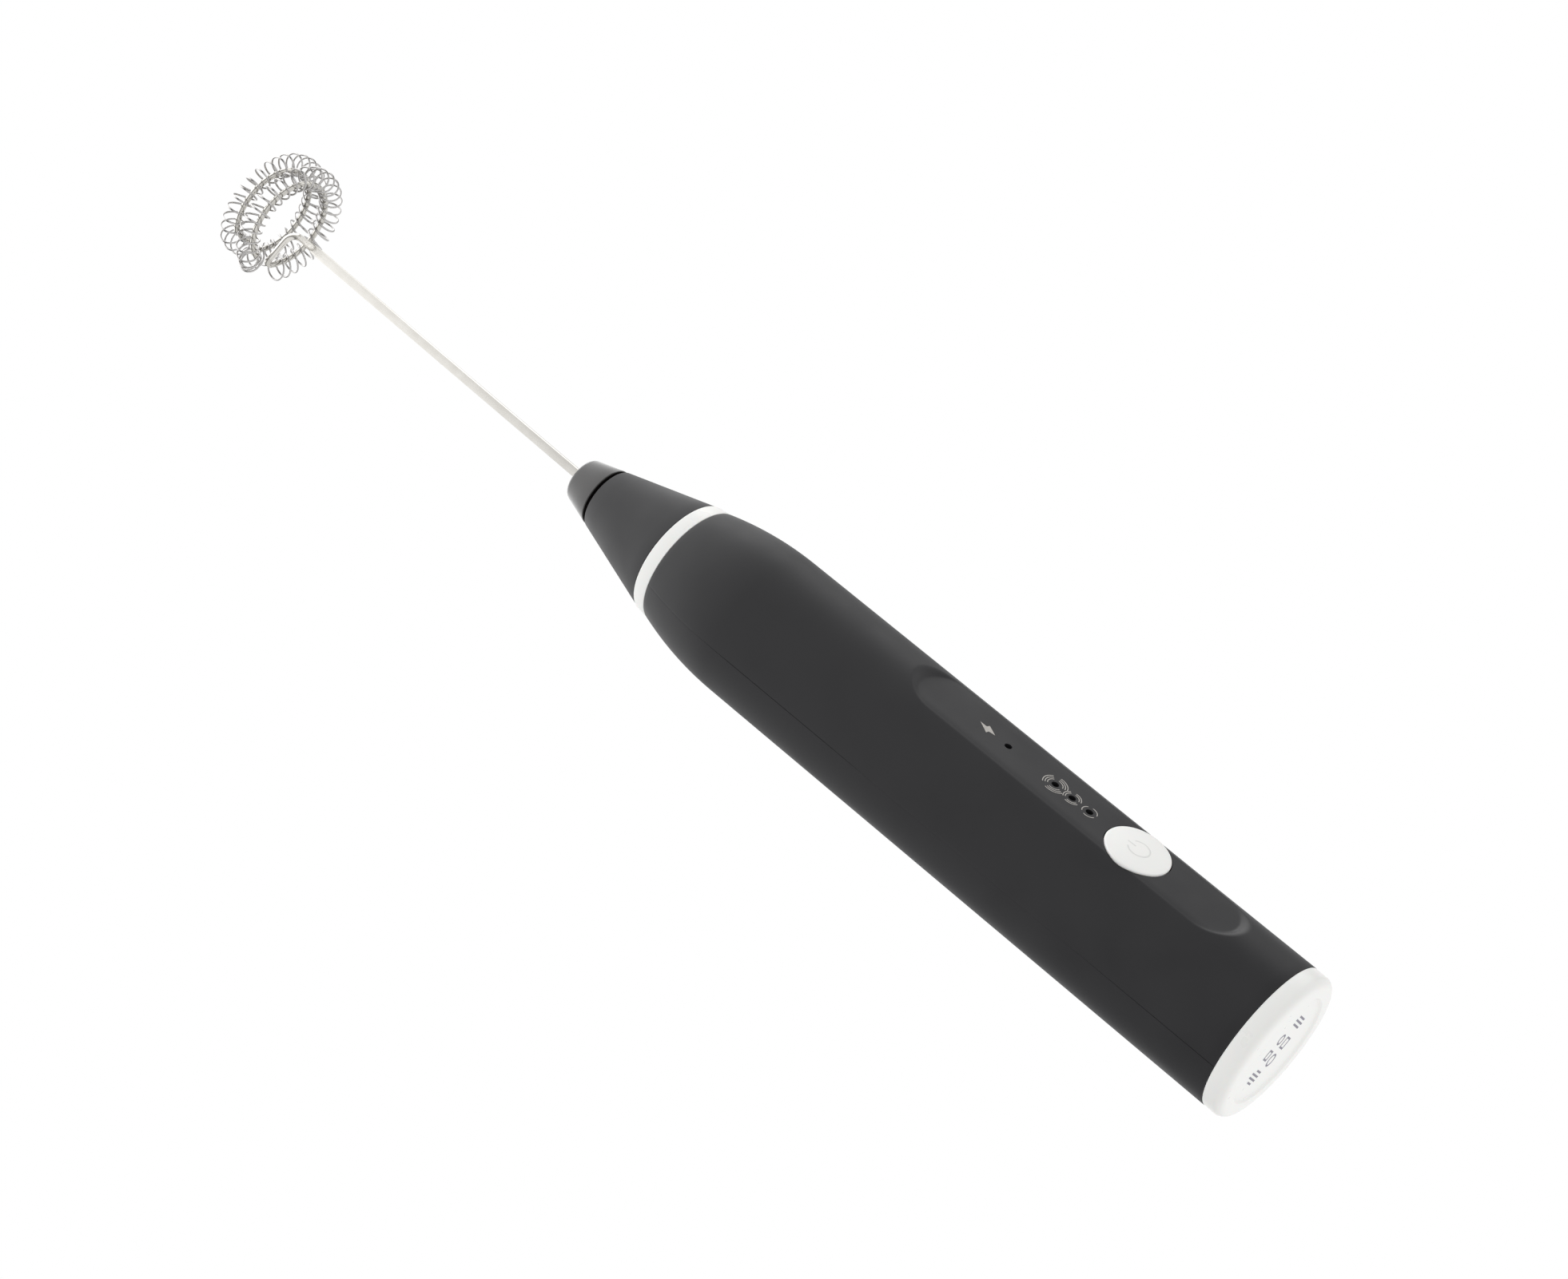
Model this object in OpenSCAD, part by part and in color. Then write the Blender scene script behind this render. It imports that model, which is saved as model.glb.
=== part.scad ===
// Rechargeable hand-held milk frother, standing on its base with the whisk up.
// Frame: +Z runs from the base to the whisk, the control panel faces -Y,
// and the origin is the centre of the base's resting face.

/* [Handle] */
// Outer diameter of the grip
handle_d = 31; // [30:0.5:32]
// Wall thickness of the two body shells
wall = 1.8; // [1.5:0.1:2]
// Height at which the grip starts to taper
shoulder_z = 127.4; // [126:0.2:129]
// Radius of the rounded taper above the grip
shoulder_r = 70.4; // [68:0.4:74]
// Height at which the body shells end and the white ring starts
shell_top = 146.8; // [146:0.2:147.4]
// Height of the white end cap
cap_h = 4.1; // [3.6:0.1:4.6]

/* [Control panel] */
// Distance of the flat panel from the handle's axis
panel_y = 14.3; // [14:0.1:14.5]
// Height of the panel's lower end
panel_bottom = 16; // [15.5:0.1:18]
// Height of the panel's upper end
panel_top = 94; // [90:0.5:98]
// Height of the button's centre
button_z = 40.2; // [38:0.2:42]
// Diameter of the button
button_d = 13; // [12.4:0.2:13.2]
// How far the button travels
button_travel = 0.6; // [0.4:0.1:0.7]

/* [Nose] */
// Height at which the white ring ends and the nose cone starts
nose_z = 149.9; // [149:0.1:150.2]
// Height at which the nose cone ends
nose_top = 169.6; // [169:0.1:170.2]
// Radius of the nose cone at its upper end
nose_tip_r = 6.65; // [6.4:0.05:6.9]
// Running gap between the nose cone and the whisk hub
nose_gap = 0.8; // [0.5:0.1:1]

/* [Whisk] */
// Diameter of the whisk's straight shaft
whisk_shaft_d = 2; // [1.8:0.1:2.2]
// Diameter of the wire that forms the whisk's two rings
ring_wire_d = 1.2; // [1:0.1:1.3]
// Radius of the two rings, to the centre of their wire
ring_r = 9.6; // [9:0.2:10.4]
// Height of the lower ring
lower_ring_z = 266; // [265.8:0.1:267]
// Height of the upper ring above the lower one
ring_rise = 5.1; // [5.1:0.1:6]
// Outer diameter of the coil that is wound round the rings
coil_d = 5; // [4.6:0.1:5]
// Diameter of the coil's wire
coil_wire_d = 0.4; // [0.3:0.05:0.45]
// Number of coil turns that would fill one whole ring
turns_per_ring = 26; // [20:1:30]

/* [Hidden] */
$fn = 96;

// Colours
matte_black = [0.13, 0.13, 0.14];
gloss_black = [0.08, 0.08, 0.09];
gloss_white = [0.94, 0.94, 0.92];
nylon = [0.85, 0.84, 0.78];
frame_grey = [0.55, 0.56, 0.58];
board_green = [0.06, 0.33, 0.18];
chip_black = [0.1, 0.1, 0.1];
steel = [0.78, 0.78, 0.78];
brass_yellow = [0.8, 0.62, 0.25];
copper_red = [0.75, 0.4, 0.22];
cell_blue = [0.12, 0.3, 0.6];
rubber_black = [0.05, 0.05, 0.05];
ferrite = [0.2, 0.2, 0.22];
clear_lens = [0.85, 0.88, 0.9];
lead_red = [0.75, 0.08, 0.08];

eps = 0.02;             // overlap that makes a cut pass right through a face
fit_gap = 0.1;          // gap between plugged-in housing pieces
run_gap = 0.04;         // radial clearance of a turning shaft in its bush
handle_r = handle_d / 2;
inner_r = handle_r - wall;
panel_half_w = sqrt(handle_r * handle_r - panel_y * panel_y);
panel_end_run = 1.3;     // run of the panel's end walls for each unit of depth
cone_slope = (handle_r - 3.2 - nose_tip_r) / (nose_top - nose_z);

// Panel backing, button and indicators
backing_y = 12.4;                        // inner face of the panel's thickened wall
button_r = button_d / 2;
button_face_y = 14.9;                    // the button stands a little proud of the panel
flange_r = button_r + 0.9;
flange_t = 0.7;
hole_gap = 0.2;
stem_r = 1.6;
speed_led_z = [51.7, 55.85, 59.95];
charge_led_z = 71.4;
lens_r = 0.7;
lens_flange_r = 1.3;

// Circuit board and what it carries
board_y = 6.9;                           // front face of the board
board_t = 1;
board_w = 18;
board_z0 = 21;
board_z1 = 82;
switch_w = 6;
switch_h = 2.8;
plunger_r = 1.75;
plunger_y = 10.7;
stem_gap = 0.02;
screw_r = 0.85;
screw_spots = [[-6.5, 25], [6.5, 66]];

// Charging socket
charge_board_z = 11.2;
socket_w = 8.94;
socket_h = 3.26;
socket_z = charge_board_z + board_t + socket_h / 2;
socket_y0 = 7.8;
socket_y1 = handle_r - 0.5;
post_spots = [[-4.6, 3], [4.6, 3]];
post_r = 1.2;

// Battery
cell_r = 7;
cell_y = 4.5;
cell_z0 = 20.7;
cell_h = 49;
tab_t = 0.2;

// Inner frame
frame_r = inner_r - 0.3;
plate_t = 2;
lower_plate_z = 17.5;
upper_plate_z = 72.5;
rail_x = 10.6;
cup_z0 = 84;
cup_z1 = 108;

// Motor
can_r = 10;
can_t = 0.5;
can_z0 = 88;
can_z1 = 113;
bell_z0 = 85.5;
shaft_r = 1.15;
bush_r = 2.2;
magnet_r = 7.5;
pole_r = 7.1;
core_z0 = 93;
core_z1 = 109;
commutator_r = 2.6;
motor_top = 114.5;

// Spindle, bearing and whisk hub
spindle_r = 1.5;
spindle_z0 = 122;
spindle_z1 = 172;
drive_flat = 1;                          // distance of the spindle's flat from the axis
drive_len = 6;
bearing_z0 = 155;
bearing_z1 = 163.4;
bearing_r = 3.5;
seal_z1 = 165.9;
seal_r = 4.1;
recess_r = 4.3;
hub_skirt_z = 166.5;
hub_skirt_r = 3.7;
hub_z0 = nose_top + nose_gap;
hub_top = 177.3;
hub_round = 1;
hub_r0 = nose_tip_r - cone_slope * nose_gap;
hub_r1 = nose_tip_r - cone_slope * (hub_top - nose_top);
shaft_z0 = 173;

// Whisk: a local frame is turned so that its +X points away from the arm
whisk_turn = -54;
ring_x = 2.1;
ring_y = -1.4;
taper_z0 = 257;
taper_z1 = 261.5;
arm_r = 0.7;
bend_r = 2.6;
arm_z = 265.2;
arm_end = -6;
corner_r = 1.2;
shaft_lean = 0.84;                       // degrees, away from the arm
shaft_run = 92.1;                        // along the leaning shaft, from shaft_z0 to the arm
arm_run = 7.35;                          // from the shaft to arm_end
wire_r = ring_wire_d / 2;
coil_wire_r = coil_wire_d / 2;
turn_r = coil_d / 2 - coil_wire_r;       // one coil turn, to the centre of its wire
coil_gap = 0.06;                         // gap between a turn and the ring wire it hangs on
coil_r = ring_r + turn_r - coil_wire_r - wire_r - coil_gap;
turn_skew = 12;

// ---- shared shapes ----
module ring(r_out, r_in, z0, z1) {
    difference() {
        translate([0, 0, z0]) cylinder(r = r_out, h = z1 - z0);
        translate([0, 0, z0 - 1]) cylinder(r = r_in, h = z1 - z0 + 2);
    }
}

module y_rod(x, z, r, y0, y1) {
    translate([x, y0, z]) rotate([-90, 0, 0]) cylinder(r = r, h = y1 - y0);
}

module block(x0, x1, y0, y1, z0, z1) {
    translate([x0, y0, z0]) cube([x1 - x0, y1 - y0, z1 - z0]);
}

// Half section of the body, drawn in by an inset
module body_section(inset) {
    translate([0, cap_h]) square([handle_r - inset, shoulder_z - cap_h]);
    intersection() {
        translate([handle_r - shoulder_r, shoulder_z]) circle(r = shoulder_r - inset, $fn = 720);
        translate([0, shoulder_z]) square([handle_r, shell_top - shoulder_z]);
    }
}

// Cutter that mills the panel's flat into the round grip, with sloping round ends
module panel_cutter() {
    r = panel_half_w + 0.05;
    deep = handle_r - panel_y;
    end_r = r + deep * panel_end_run;
    high = 4;
    for (z = [panel_bottom + end_r, panel_top - end_r]) {
        translate([0, -panel_y, z]) rotate([90, 0, 0])
            cylinder(r1 = r, r2 = r + high * panel_end_run, h = high);
    }
    block(-r, r, -panel_y - high, -panel_y, panel_bottom + end_r, panel_top - end_r);
}

// A round-ended slot along Y, centred on the charging socket
module socket_slot(w, h, y0, y1) {
    for (s = [-1, 1]) y_rod(s * (w - h) / 2, socket_z, h / 2, y0, y1);
    block(-(w - h) / 2, (w - h) / 2, y0, y1, socket_z - h / 2, socket_z + h / 2);
}

// ---- housing ----
module body_tube() {
    rotate_extrude() difference() {
        body_section(0);
        body_section(wall);
    }
}

// Bar that thickens the wall behind the panel
module panel_backing() {
    z0 = panel_bottom - 3;
    h = panel_top - panel_bottom + 6;
    intersection() {
        translate([0, 0, z0]) cylinder(r = inner_r + 0.4, h = h);
        block(-8, 8, -handle_r, -backing_y, z0 - 1, z0 + h + 1);
    }
}

module front_shell() {
    color(matte_black) difference() {
        union() {
            difference() {
                body_tube();
                block(-20, 20, 0, 20, 0, 160);
            }
            panel_backing();
        }
        panel_cutter();
        y_rod(0, button_z, button_r + hole_gap, -20, -backing_y + eps);
        y_rod(0, button_z, flange_r + hole_gap, -backing_y, -5);
        for (z = concat(speed_led_z, [charge_led_z])) {
            y_rod(0, z, lens_r, -20, -5);
        }
    }
}

module rear_shell() {
    color(matte_black) difference() {
        body_tube();
        block(-20, 20, -20, 0, 0, 160);
        socket_slot(socket_w + 0.3, socket_h + 0.3, 5, 20);
    }
}

module base_cap() {
    outer_r = handle_r - 0.05;
    edge_r = 1.6;
    recess = 0.5;
    floor_z = 2.2;
    spigot_r = inner_r - fit_gap;
    color(gloss_white) {
        difference() {
            union() {
                rotate_extrude() {
                    translate([0, edge_r]) square([outer_r, cap_h - edge_r]);
                    square([outer_r - edge_r, edge_r + eps]);
                    intersection() {
                        translate([outer_r - edge_r, edge_r]) circle(r = edge_r);
                        translate([outer_r - edge_r - eps, 0]) square([edge_r + eps, edge_r + eps]);
                    }
                }
                translate([0, 0, cap_h - eps]) cylinder(r = spigot_r, h = 5 + eps);
            }
            translate([0, 0, -1]) cylinder(r = 11.8, h = 1 + recess);
            translate([0, 0, floor_z]) cylinder(r = spigot_r - 1.6, h = 20);
        }
        for (p = post_spots) {
            translate([p[0], p[1], floor_z - eps]) cylinder(r = post_r, h = charge_board_z - floor_z + eps);
        }
    }
}

module white_ring() {
    color(gloss_white) rotate_extrude() polygon([
        [10.7, shell_top], [12.75, shell_top], [handle_r - 3.12, nose_z], [10.7, nose_z]
    ]);
}

module nose_cone() {
    color(matte_black) rotate_extrude() polygon([
        [10.6, 140], [10.6, nose_z], [handle_r - 3.2, nose_z], [nose_tip_r, nose_top],
        [recess_r, nose_top], [recess_r, seal_z1], [seal_r, seal_z1], [seal_r, bearing_z1],
        [bearing_r, bearing_z1], [bearing_r, bearing_z0], [bearing_r + 1.5, bearing_z0],
        [bearing_r + 1.5, 158.5], [7, 158.5], [9, 151], [9, 140]
    ]);
}

// ---- controls ----
module button_cap() {
    dome = 0.35;
    dome_r = (button_r * button_r + dome * dome) / (2 * dome);
    color(gloss_white) {
        intersection() {
            y_rod(0, button_z, button_r, -button_face_y, -backing_y);
            translate([0, dome_r - button_face_y, button_z]) sphere(r = dome_r, $fn = 360);
        }
        y_rod(0, button_z, flange_r, -backing_y, -backing_y + flange_t);
        y_rod(0, button_z, stem_r, -backing_y + flange_t - eps, -plunger_y - stem_gap);
    }
}

module indicator_lenses() {
    color(clear_lens) for (z = concat(speed_led_z, [charge_led_z])) {
        y_rod(0, z, lens_r, -panel_y + 0.15, -backing_y);
        y_rod(0, z, lens_flange_r, -backing_y, -backing_y + 0.6);
        y_rod(0, z, lens_r, -backing_y + 0.6 - eps, -board_y - 0.9);
    }
}

module switch_body() {
    h = switch_w / 2;
    color(chip_black) difference() {
        block(-h, h, -board_y - switch_h, -board_y, button_z - h, button_z + h);
        y_rod(0, button_z, plunger_r + run_gap, -board_y - switch_h - 1, -board_y - 1);
    }
}

module switch_plunger() {
    color(frame_grey) y_rod(0, button_z, plunger_r, -plunger_y, -board_y - 1 - button_travel - 0.1);
}

// ---- electronics ----
module circuit_board() {
    color(board_green) difference() {
        block(-board_w / 2, board_w / 2, -board_y, -board_y + board_t, board_z0, board_z1);
        for (p = screw_spots) y_rod(p[0], p[1], screw_r + 0.1, -10, 0);
    }
}

module board_screws() {
    color(steel) for (p = screw_spots) {
        y_rod(p[0], p[1], screw_r, -board_y, -board_y + 3.4);
        difference() {
            y_rod(p[0], p[1], 1.6, -board_y - 1, -board_y);
            block(p[0] - 1.1, p[0] + 1.1, -board_y - 2, -board_y - 0.5, p[1] - 0.2, p[1] + 0.2);
        }
    }
}

module driver_chip() {
    color(chip_black) block(-2.4, 2.4, -board_y - 1.4, -board_y, 28, 34);
}

module board_capacitors() {
    color(brass_yellow) for (z = [48, 56.5, 75.5], s = [-1, 1]) {
        block(s * 5.5 - 0.8, s * 5.5 + 0.8, -board_y - 1.2, -board_y, z, z + 3);
    }
}

module led_body(z) {
    block(-0.8, 0.8, -board_y - 0.7, -board_y, z - 0.6, z + 0.6);
}

module speed_leds() {
    color(gloss_white) for (z = speed_led_z) led_body(z);
}

module charge_led() {
    color(gloss_white) led_body(charge_led_z);
}

module charge_board() {
    color(board_green) block(-6, 6, 0.5, 11.5, charge_board_z, charge_board_z + board_t);
}

module charging_socket() {
    skin = 0.35;
    color(steel) difference() {
        socket_slot(socket_w, socket_h, socket_y0, socket_y1);
        socket_slot(socket_w - 2 * skin, socket_h - 2 * skin, socket_y0 + 0.8, socket_y1 + 1);
    }
}

module socket_tongue() {
    color(chip_black) block(-3.3, 3.3, socket_y0 + 0.8, socket_y1 - 1.4, socket_z - 0.35, socket_z + 0.35);
}

module battery_cell() {
    color(cell_blue) translate([0, cell_y, cell_z0]) cylinder(r = cell_r, h = cell_h);
}

module battery_tabs() {
    top = cell_z0 + cell_h;
    color(steel) {
        translate([0, cell_y, top]) cylinder(r = 2.4, h = 0.8);
        block(-2, 2, 0, cell_y + 2, top + 0.8, top + 0.8 + tab_t);
        block(-4, 2, 0, cell_y + 2, cell_z0 - tab_t, cell_z0);
    }
}

module battery_leads() {
    lead_r = 0.4;
    color(lead_red) {
        y_rod(1.2, cell_z0 + cell_h + 0.8 + tab_t + lead_r, lead_r, -board_y + board_t, 2);
        y_rod(-3.4, cell_z0 - tab_t - lead_r, lead_r, -board_y + board_t, 2);
    }
}

module motor_leads() {
    lead_r = 0.5;
    turn_z = 79;
    color(lead_red) for (s = [-1, 1]) {
        translate([s * 6.9, 0, turn_z]) cylinder(r = lead_r, h = 85.3 - turn_z);
        translate([s * 6.9, 0, turn_z]) sphere(r = lead_r);
        y_rod(s * 6.9, turn_z, lead_r, -board_y + board_t, 0);
    }
}

// ---- inner frame ----
module frame_plate(z) {
    difference() {
        translate([0, 0, z]) cylinder(r = frame_r, h = plate_t);
        block(-20, 20, -20, -4.6, z - 1, z + plate_t + 1);
    }
}

module inner_frame() {
    bar_y0 = -board_y + board_t + 1.3;
    color(frame_grey) difference() {
        union() {
            frame_plate(lower_plate_z);
            frame_plate(upper_plate_z);
            difference() {
                translate([0, cell_y, lower_plate_z + 1])
                    cylinder(r = cell_r + 1.3, h = upper_plate_z - lower_plate_z);
                translate([0, cell_y, lower_plate_z + plate_t]) cylinder(r = cell_r + 0.1, h = 53);
                block(-20, 20, -20, cell_y + 1, lower_plate_z + plate_t, upper_plate_z);
            }
            for (s = [-1, 1]) {
                block(min(s * rail_x, s * 12.4), max(s * rail_x, s * 12.4), bar_y0, 1.5,
                      lower_plate_z, cup_z1 - 4);
            }
            for (p = screw_spots) {
                block(-12, 12, bar_y0, -3, p[1] - 1.6, p[1] + 1.6);
                y_rod(p[0], p[1], 1.5, -board_y + board_t, bar_y0 + eps);
            }
            ring(13.2, 11.2, cup_z0, cup_z1);
            for (p = post_spots) {
                translate([p[0], p[1], charge_board_z + board_t])
                    cylinder(r = post_r, h = lower_plate_z - charge_board_z - board_t + 0.5);
            }
        }
        for (p = screw_spots) y_rod(p[0], p[1], screw_r, -10, -board_y + board_t + 2.5);
        translate([0, cell_y, lower_plate_z + plate_t]) cylinder(r = cell_r + 0.1, h = 53);
        translate([0, 0, cup_z0]) cylinder(r = 11.2, h = cup_z1 - cup_z0 + 1);
        block(-8, 8, -20, 0.4 - backing_y, cup_z0 - 1, panel_top + 3.5);
    }
}

// ---- motor ----
module motor_can() {
    color(steel) rotate_extrude() polygon([
        [can_r - can_t, can_z0], [can_r, can_z0], [can_r, can_z1], [bush_r + 1, can_z1],
        [bush_r + 1, motor_top], [bush_r, motor_top], [bush_r, can_z1 - 1], [can_r - can_t, can_z1 - 1]
    ]);
}

module motor_end_bell() {
    color(nylon) rotate_extrude() polygon([
        [bush_r, bell_z0 - 1], [bush_r + 1.2, bell_z0 - 1], [bush_r + 1.2, bell_z0],
        [can_r, bell_z0], [can_r, can_z0], [bush_r, can_z0]
    ]);
}

module front_bushing() {
    color(brass_yellow) ring(bush_r, shaft_r + run_gap, can_z1 - 1, motor_top);
}

module rear_bushing() {
    color(brass_yellow) ring(bush_r, shaft_r + run_gap, bell_z0 - 1, can_z0);
}

module motor_terminals() {
    color(brass_yellow) for (s = [-1, 1]) {
        block(s * 6.1 - 0.2, s * 6.1 + 0.2, -1, 1, 82.5, bell_z0);
    }
}

module motor_brushes() {
    color(copper_red) for (s = [-1, 1]) {
        block(min(s * 2.68, s * 7), max(s * 2.68, s * 7), -0.6, 0.6, 89.4, 90.6);
        block(min(s * 6.4, s * 7), max(s * 6.4, s * 7), -0.6, 0.6, can_z0, 90.6);
    }
}

module motor_magnets() {
    color(ferrite) difference() {
        ring(can_r - can_t, magnet_r, 92, 110);
        block(-20, 20, -3, 3, 90, 112);
    }
}

module motor_sleeve() {
    color(rubber_black) rotate_extrude() polygon([
        [can_r + 0.05, 89], [11.15, 89], [11.15, 114.2], [can_r - 2, 114.2],
        [can_r - 2, 113.05], [can_r + 0.05, 113.05]
    ]);
}

module motor_shaft() {
    color(steel) translate([0, 0, bell_z0 - 1.5]) cylinder(r = shaft_r, h = spindle_z0 - bell_z0 + 1.5);
}

module armature_core() {
    arm_w = 2.2;
    shoe_r = 5.7;
    slot_w = 2.6;
    color(steel) difference() {
        union() {
            translate([0, 0, core_z0]) cylinder(r = 2.6, h = core_z1 - core_z0);
            ring(pole_r, shoe_r, core_z0, core_z1);
            for (i = [0:2]) rotate([0, 0, 120 * i]) {
                block(1.5, shoe_r + 0.6, -arm_w / 2, arm_w / 2, core_z0, core_z1);
            }
        }
        for (i = [0:2]) rotate([0, 0, 120 * i + 60]) {
            block(shoe_r - 1, pole_r + 1, -slot_w / 2, slot_w / 2, core_z0 - 1, core_z1 + 1);
        }
        translate([0, 0, core_z0 - 1]) cylinder(r = shaft_r, h = core_z1 - core_z0 + 2);
    }
}

module armature_windings() {
    arm_w = 2.2;
    color(copper_red) for (i = [0:2]) rotate([0, 0, 120 * i]) difference() {
        block(3, 5.05, -2.3, 2.3, core_z0 - 1.3, core_z1 + 1.3);
        block(2, 7, -arm_w / 2, arm_w / 2, core_z0, core_z1);
    }
}

module commutator() {
    color(copper_red) ring(commutator_r, shaft_r, can_z0 + 0.4, core_z0 - 1.7);
}

// ---- drive line ----
module coupling_sleeve() {
    color(brass_yellow) difference() {
        translate([0, 0, 116]) cylinder(r = 3, h = 12);
        translate([0, 0, 115]) cylinder(r = shaft_r, h = spindle_z0 - 115 + eps);
        translate([0, 0, spindle_z0]) cylinder(r = spindle_r, h = 10);
    }
}

module drive_spindle() {
    color(steel) difference() {
        translate([0, 0, spindle_z0]) cylinder(r = spindle_r, h = spindle_z1 - spindle_z0);
        block(drive_flat, 3, -3, 3, spindle_z1 - drive_len, spindle_z1 + 1);
    }
}

module spindle_clip() {
    color(steel) difference() {
        ring(2.8, spindle_r, bearing_z0 - 1, bearing_z0 - 0.3);
        block(-0.8, 0.8, 0, 4, bearing_z0 - 2, bearing_z0);
    }
}

module nose_bearing() {
    color(brass_yellow) ring(bearing_r, spindle_r + run_gap, bearing_z0, bearing_z1);
}

module lip_seal() {
    color(rubber_black) ring(seal_r, spindle_r + run_gap, bearing_z1, seal_z1);
}

// ---- whisk ----
module whisk_hub() {
    gap = 0.05;
    color(gloss_black) difference() {
        rotate_extrude() {
            polygon([
                [0, hub_skirt_z], [hub_skirt_r, hub_skirt_z], [hub_skirt_r, hub_z0], [hub_r0, hub_z0],
                [hub_r1, hub_top - hub_round], [hub_r1 - hub_round, hub_top], [0, hub_top]
            ]);
        }
        difference() {
            translate([0, 0, hub_skirt_z - 1])
                cylinder(r = spindle_r + gap, h = spindle_z1 + 0.4 - hub_skirt_z + 1);
            block(drive_flat + gap, 3, -3, 3, hub_skirt_z - 2, spindle_z1 + 2);
        }
        along_shaft() cylinder(r = whisk_shaft_d / 2, h = 10);
    }
}

module along_shaft() {
    translate([0, 0, shaft_z0]) rotate([0, 0, whisk_turn]) rotate([0, shaft_lean, 0]) children();
}

module whisk_shaft() {
    shaft_top_r = whisk_shaft_d / 2;
    taper_run = taper_z0 - shaft_z0;
    thin_run = taper_z1 - shaft_z0;
    bend_run = shaft_run - bend_r;
    color(steel) along_shaft() {
        cylinder(r = shaft_top_r, h = taper_run);
        translate([0, 0, taper_run]) cylinder(r1 = shaft_top_r, r2 = arm_r, h = thin_run - taper_run);
        translate([0, 0, thin_run]) cylinder(r = arm_r, h = bend_run - thin_run);
        translate([-bend_r, 0, bend_run]) rotate([90, 0, 0])
            rotate_extrude(angle = 90) translate([bend_r, 0]) circle(r = arm_r, $fn = 48);
        translate([-bend_r, 0, shaft_run]) rotate([0, -90, 0])
            cylinder(r = arm_r, h = arm_run - bend_r, $fn = 48);
    }
}

function ring_point(angle, r, z) = [ring_x + r * cos(angle), ring_y + r * sin(angle), z];
function ease(t) = t <= 0 ? 0 : t >= 1 ? 1 : t * t * (3 - 2 * t);

// Height and radius of the ring wire at an angle that runs down from 160 through both rings
function wire_z(angle) = lower_ring_z - 0.5 * (1 - ease((160 - angle) / 20))
    + ring_rise * ease((-165 - angle) / 40);
function wire_radius(angle) = ring_r - 2.2 * ease((-500 - angle) / 50);

wire_path = concat(
    [for (a = [0:15:60]) [arm_end - corner_r * sin(a), corner_r * (1 - cos(a)), arm_z + 0.2 * a / 60]],
    [for (a = [160:-7.5:-550]) ring_point(a, wire_radius(a), wire_z(a))]
);

// Tube along a path whose direction never points up, as one closed polyhedron
function unit(v) = v / norm(v);
function path_dir(p, i) = unit(p[min(i + 1, len(p) - 1)] - p[max(i - 1, 0)]);
module tube_along(path, r, sides) {
    n = len(path);
    points = [for (i = [0:n - 1]) let(
        dir = path_dir(path, i), across = unit(cross([0, 0, 1], dir)), up = cross(dir, across)
    ) for (k = [0:sides - 1]) path[i] + r * (cos(360 * k / sides) * across + sin(360 * k / sides) * up)];
    faces = concat(
        [[for (k = [0:sides - 1]) sides - 1 - k]],
        [for (i = [0:n - 2], k = [0:sides - 1]) let(a = i * sides, b = a + sides, m = (k + 1) % sides)
            each [[a + k, a + m, b + m], [a + k, b + m, b + k]]],
        [[for (k = [0:sides - 1]) (n - 1) * sides + k]]
    );
    polyhedron(points, [for (f = faces) [for (j = [len(f) - 1:-1:0]) f[j]]]);
}

module whisk_ring_wire() {
    color(steel) rotate([0, 0, whisk_turn]) tube_along(wire_path, wire_r, 8);
}

// Separate turns of the coil, from one angle down to another
module coil_turns(z, from, to) {
    step = 360 / turns_per_ring;
    color(steel) rotate([0, 0, whisk_turn]) translate([ring_x, ring_y, z])
        for (a = [from:-step:to]) rotate([0, 0, a]) translate([coil_r, 0, 0])
            rotate([turn_skew, 0, 0]) rotate([90, 0, 0])
                rotate_extrude($fn = 40) translate([turn_r, 0]) circle(r = coil_wire_r, $fn = 16);
}

module lower_coil() {
    coil_turns(lower_ring_z, 148, -158);
}

module upper_coil() {
    coil_turns(lower_ring_z + ring_rise, -212, -492);
}

front_shell();
rear_shell();
base_cap();
white_ring();
nose_cone();
button_cap();
indicator_lenses();
inner_frame();
circuit_board();
board_screws();
switch_body();
switch_plunger();
driver_chip();
board_capacitors();
speed_leds();
charge_led();
charge_board();
charging_socket();
socket_tongue();
battery_cell();
battery_tabs();
battery_leads();
motor_leads();
motor_can();
motor_end_bell();
motor_terminals();
motor_brushes();
motor_magnets();
front_bushing();
rear_bushing();
motor_sleeve();
nose_bearing();
lip_seal();
motor_shaft();
armature_core();
armature_windings();
commutator();
coupling_sleeve();
drive_spindle();
spindle_clip();
whisk_hub();
whisk_shaft();
whisk_ring_wire();
lower_coil();
upper_coil();
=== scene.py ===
import math

import bmesh
import bpy
from mathutils import Matrix, Vector


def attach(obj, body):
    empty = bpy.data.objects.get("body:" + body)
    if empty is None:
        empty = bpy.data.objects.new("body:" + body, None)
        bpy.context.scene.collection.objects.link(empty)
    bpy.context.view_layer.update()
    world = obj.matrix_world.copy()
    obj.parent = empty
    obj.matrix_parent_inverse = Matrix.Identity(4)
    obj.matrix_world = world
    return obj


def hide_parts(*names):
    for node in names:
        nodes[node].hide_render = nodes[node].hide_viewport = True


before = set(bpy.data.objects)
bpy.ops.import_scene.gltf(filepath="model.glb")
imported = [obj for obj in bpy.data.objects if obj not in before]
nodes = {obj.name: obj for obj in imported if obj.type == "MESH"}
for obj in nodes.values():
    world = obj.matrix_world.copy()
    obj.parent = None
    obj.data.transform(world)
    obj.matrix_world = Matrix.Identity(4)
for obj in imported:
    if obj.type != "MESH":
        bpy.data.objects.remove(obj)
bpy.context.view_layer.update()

scene = bpy.context.scene
mm = 0.001
print("frame loaded")

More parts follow.
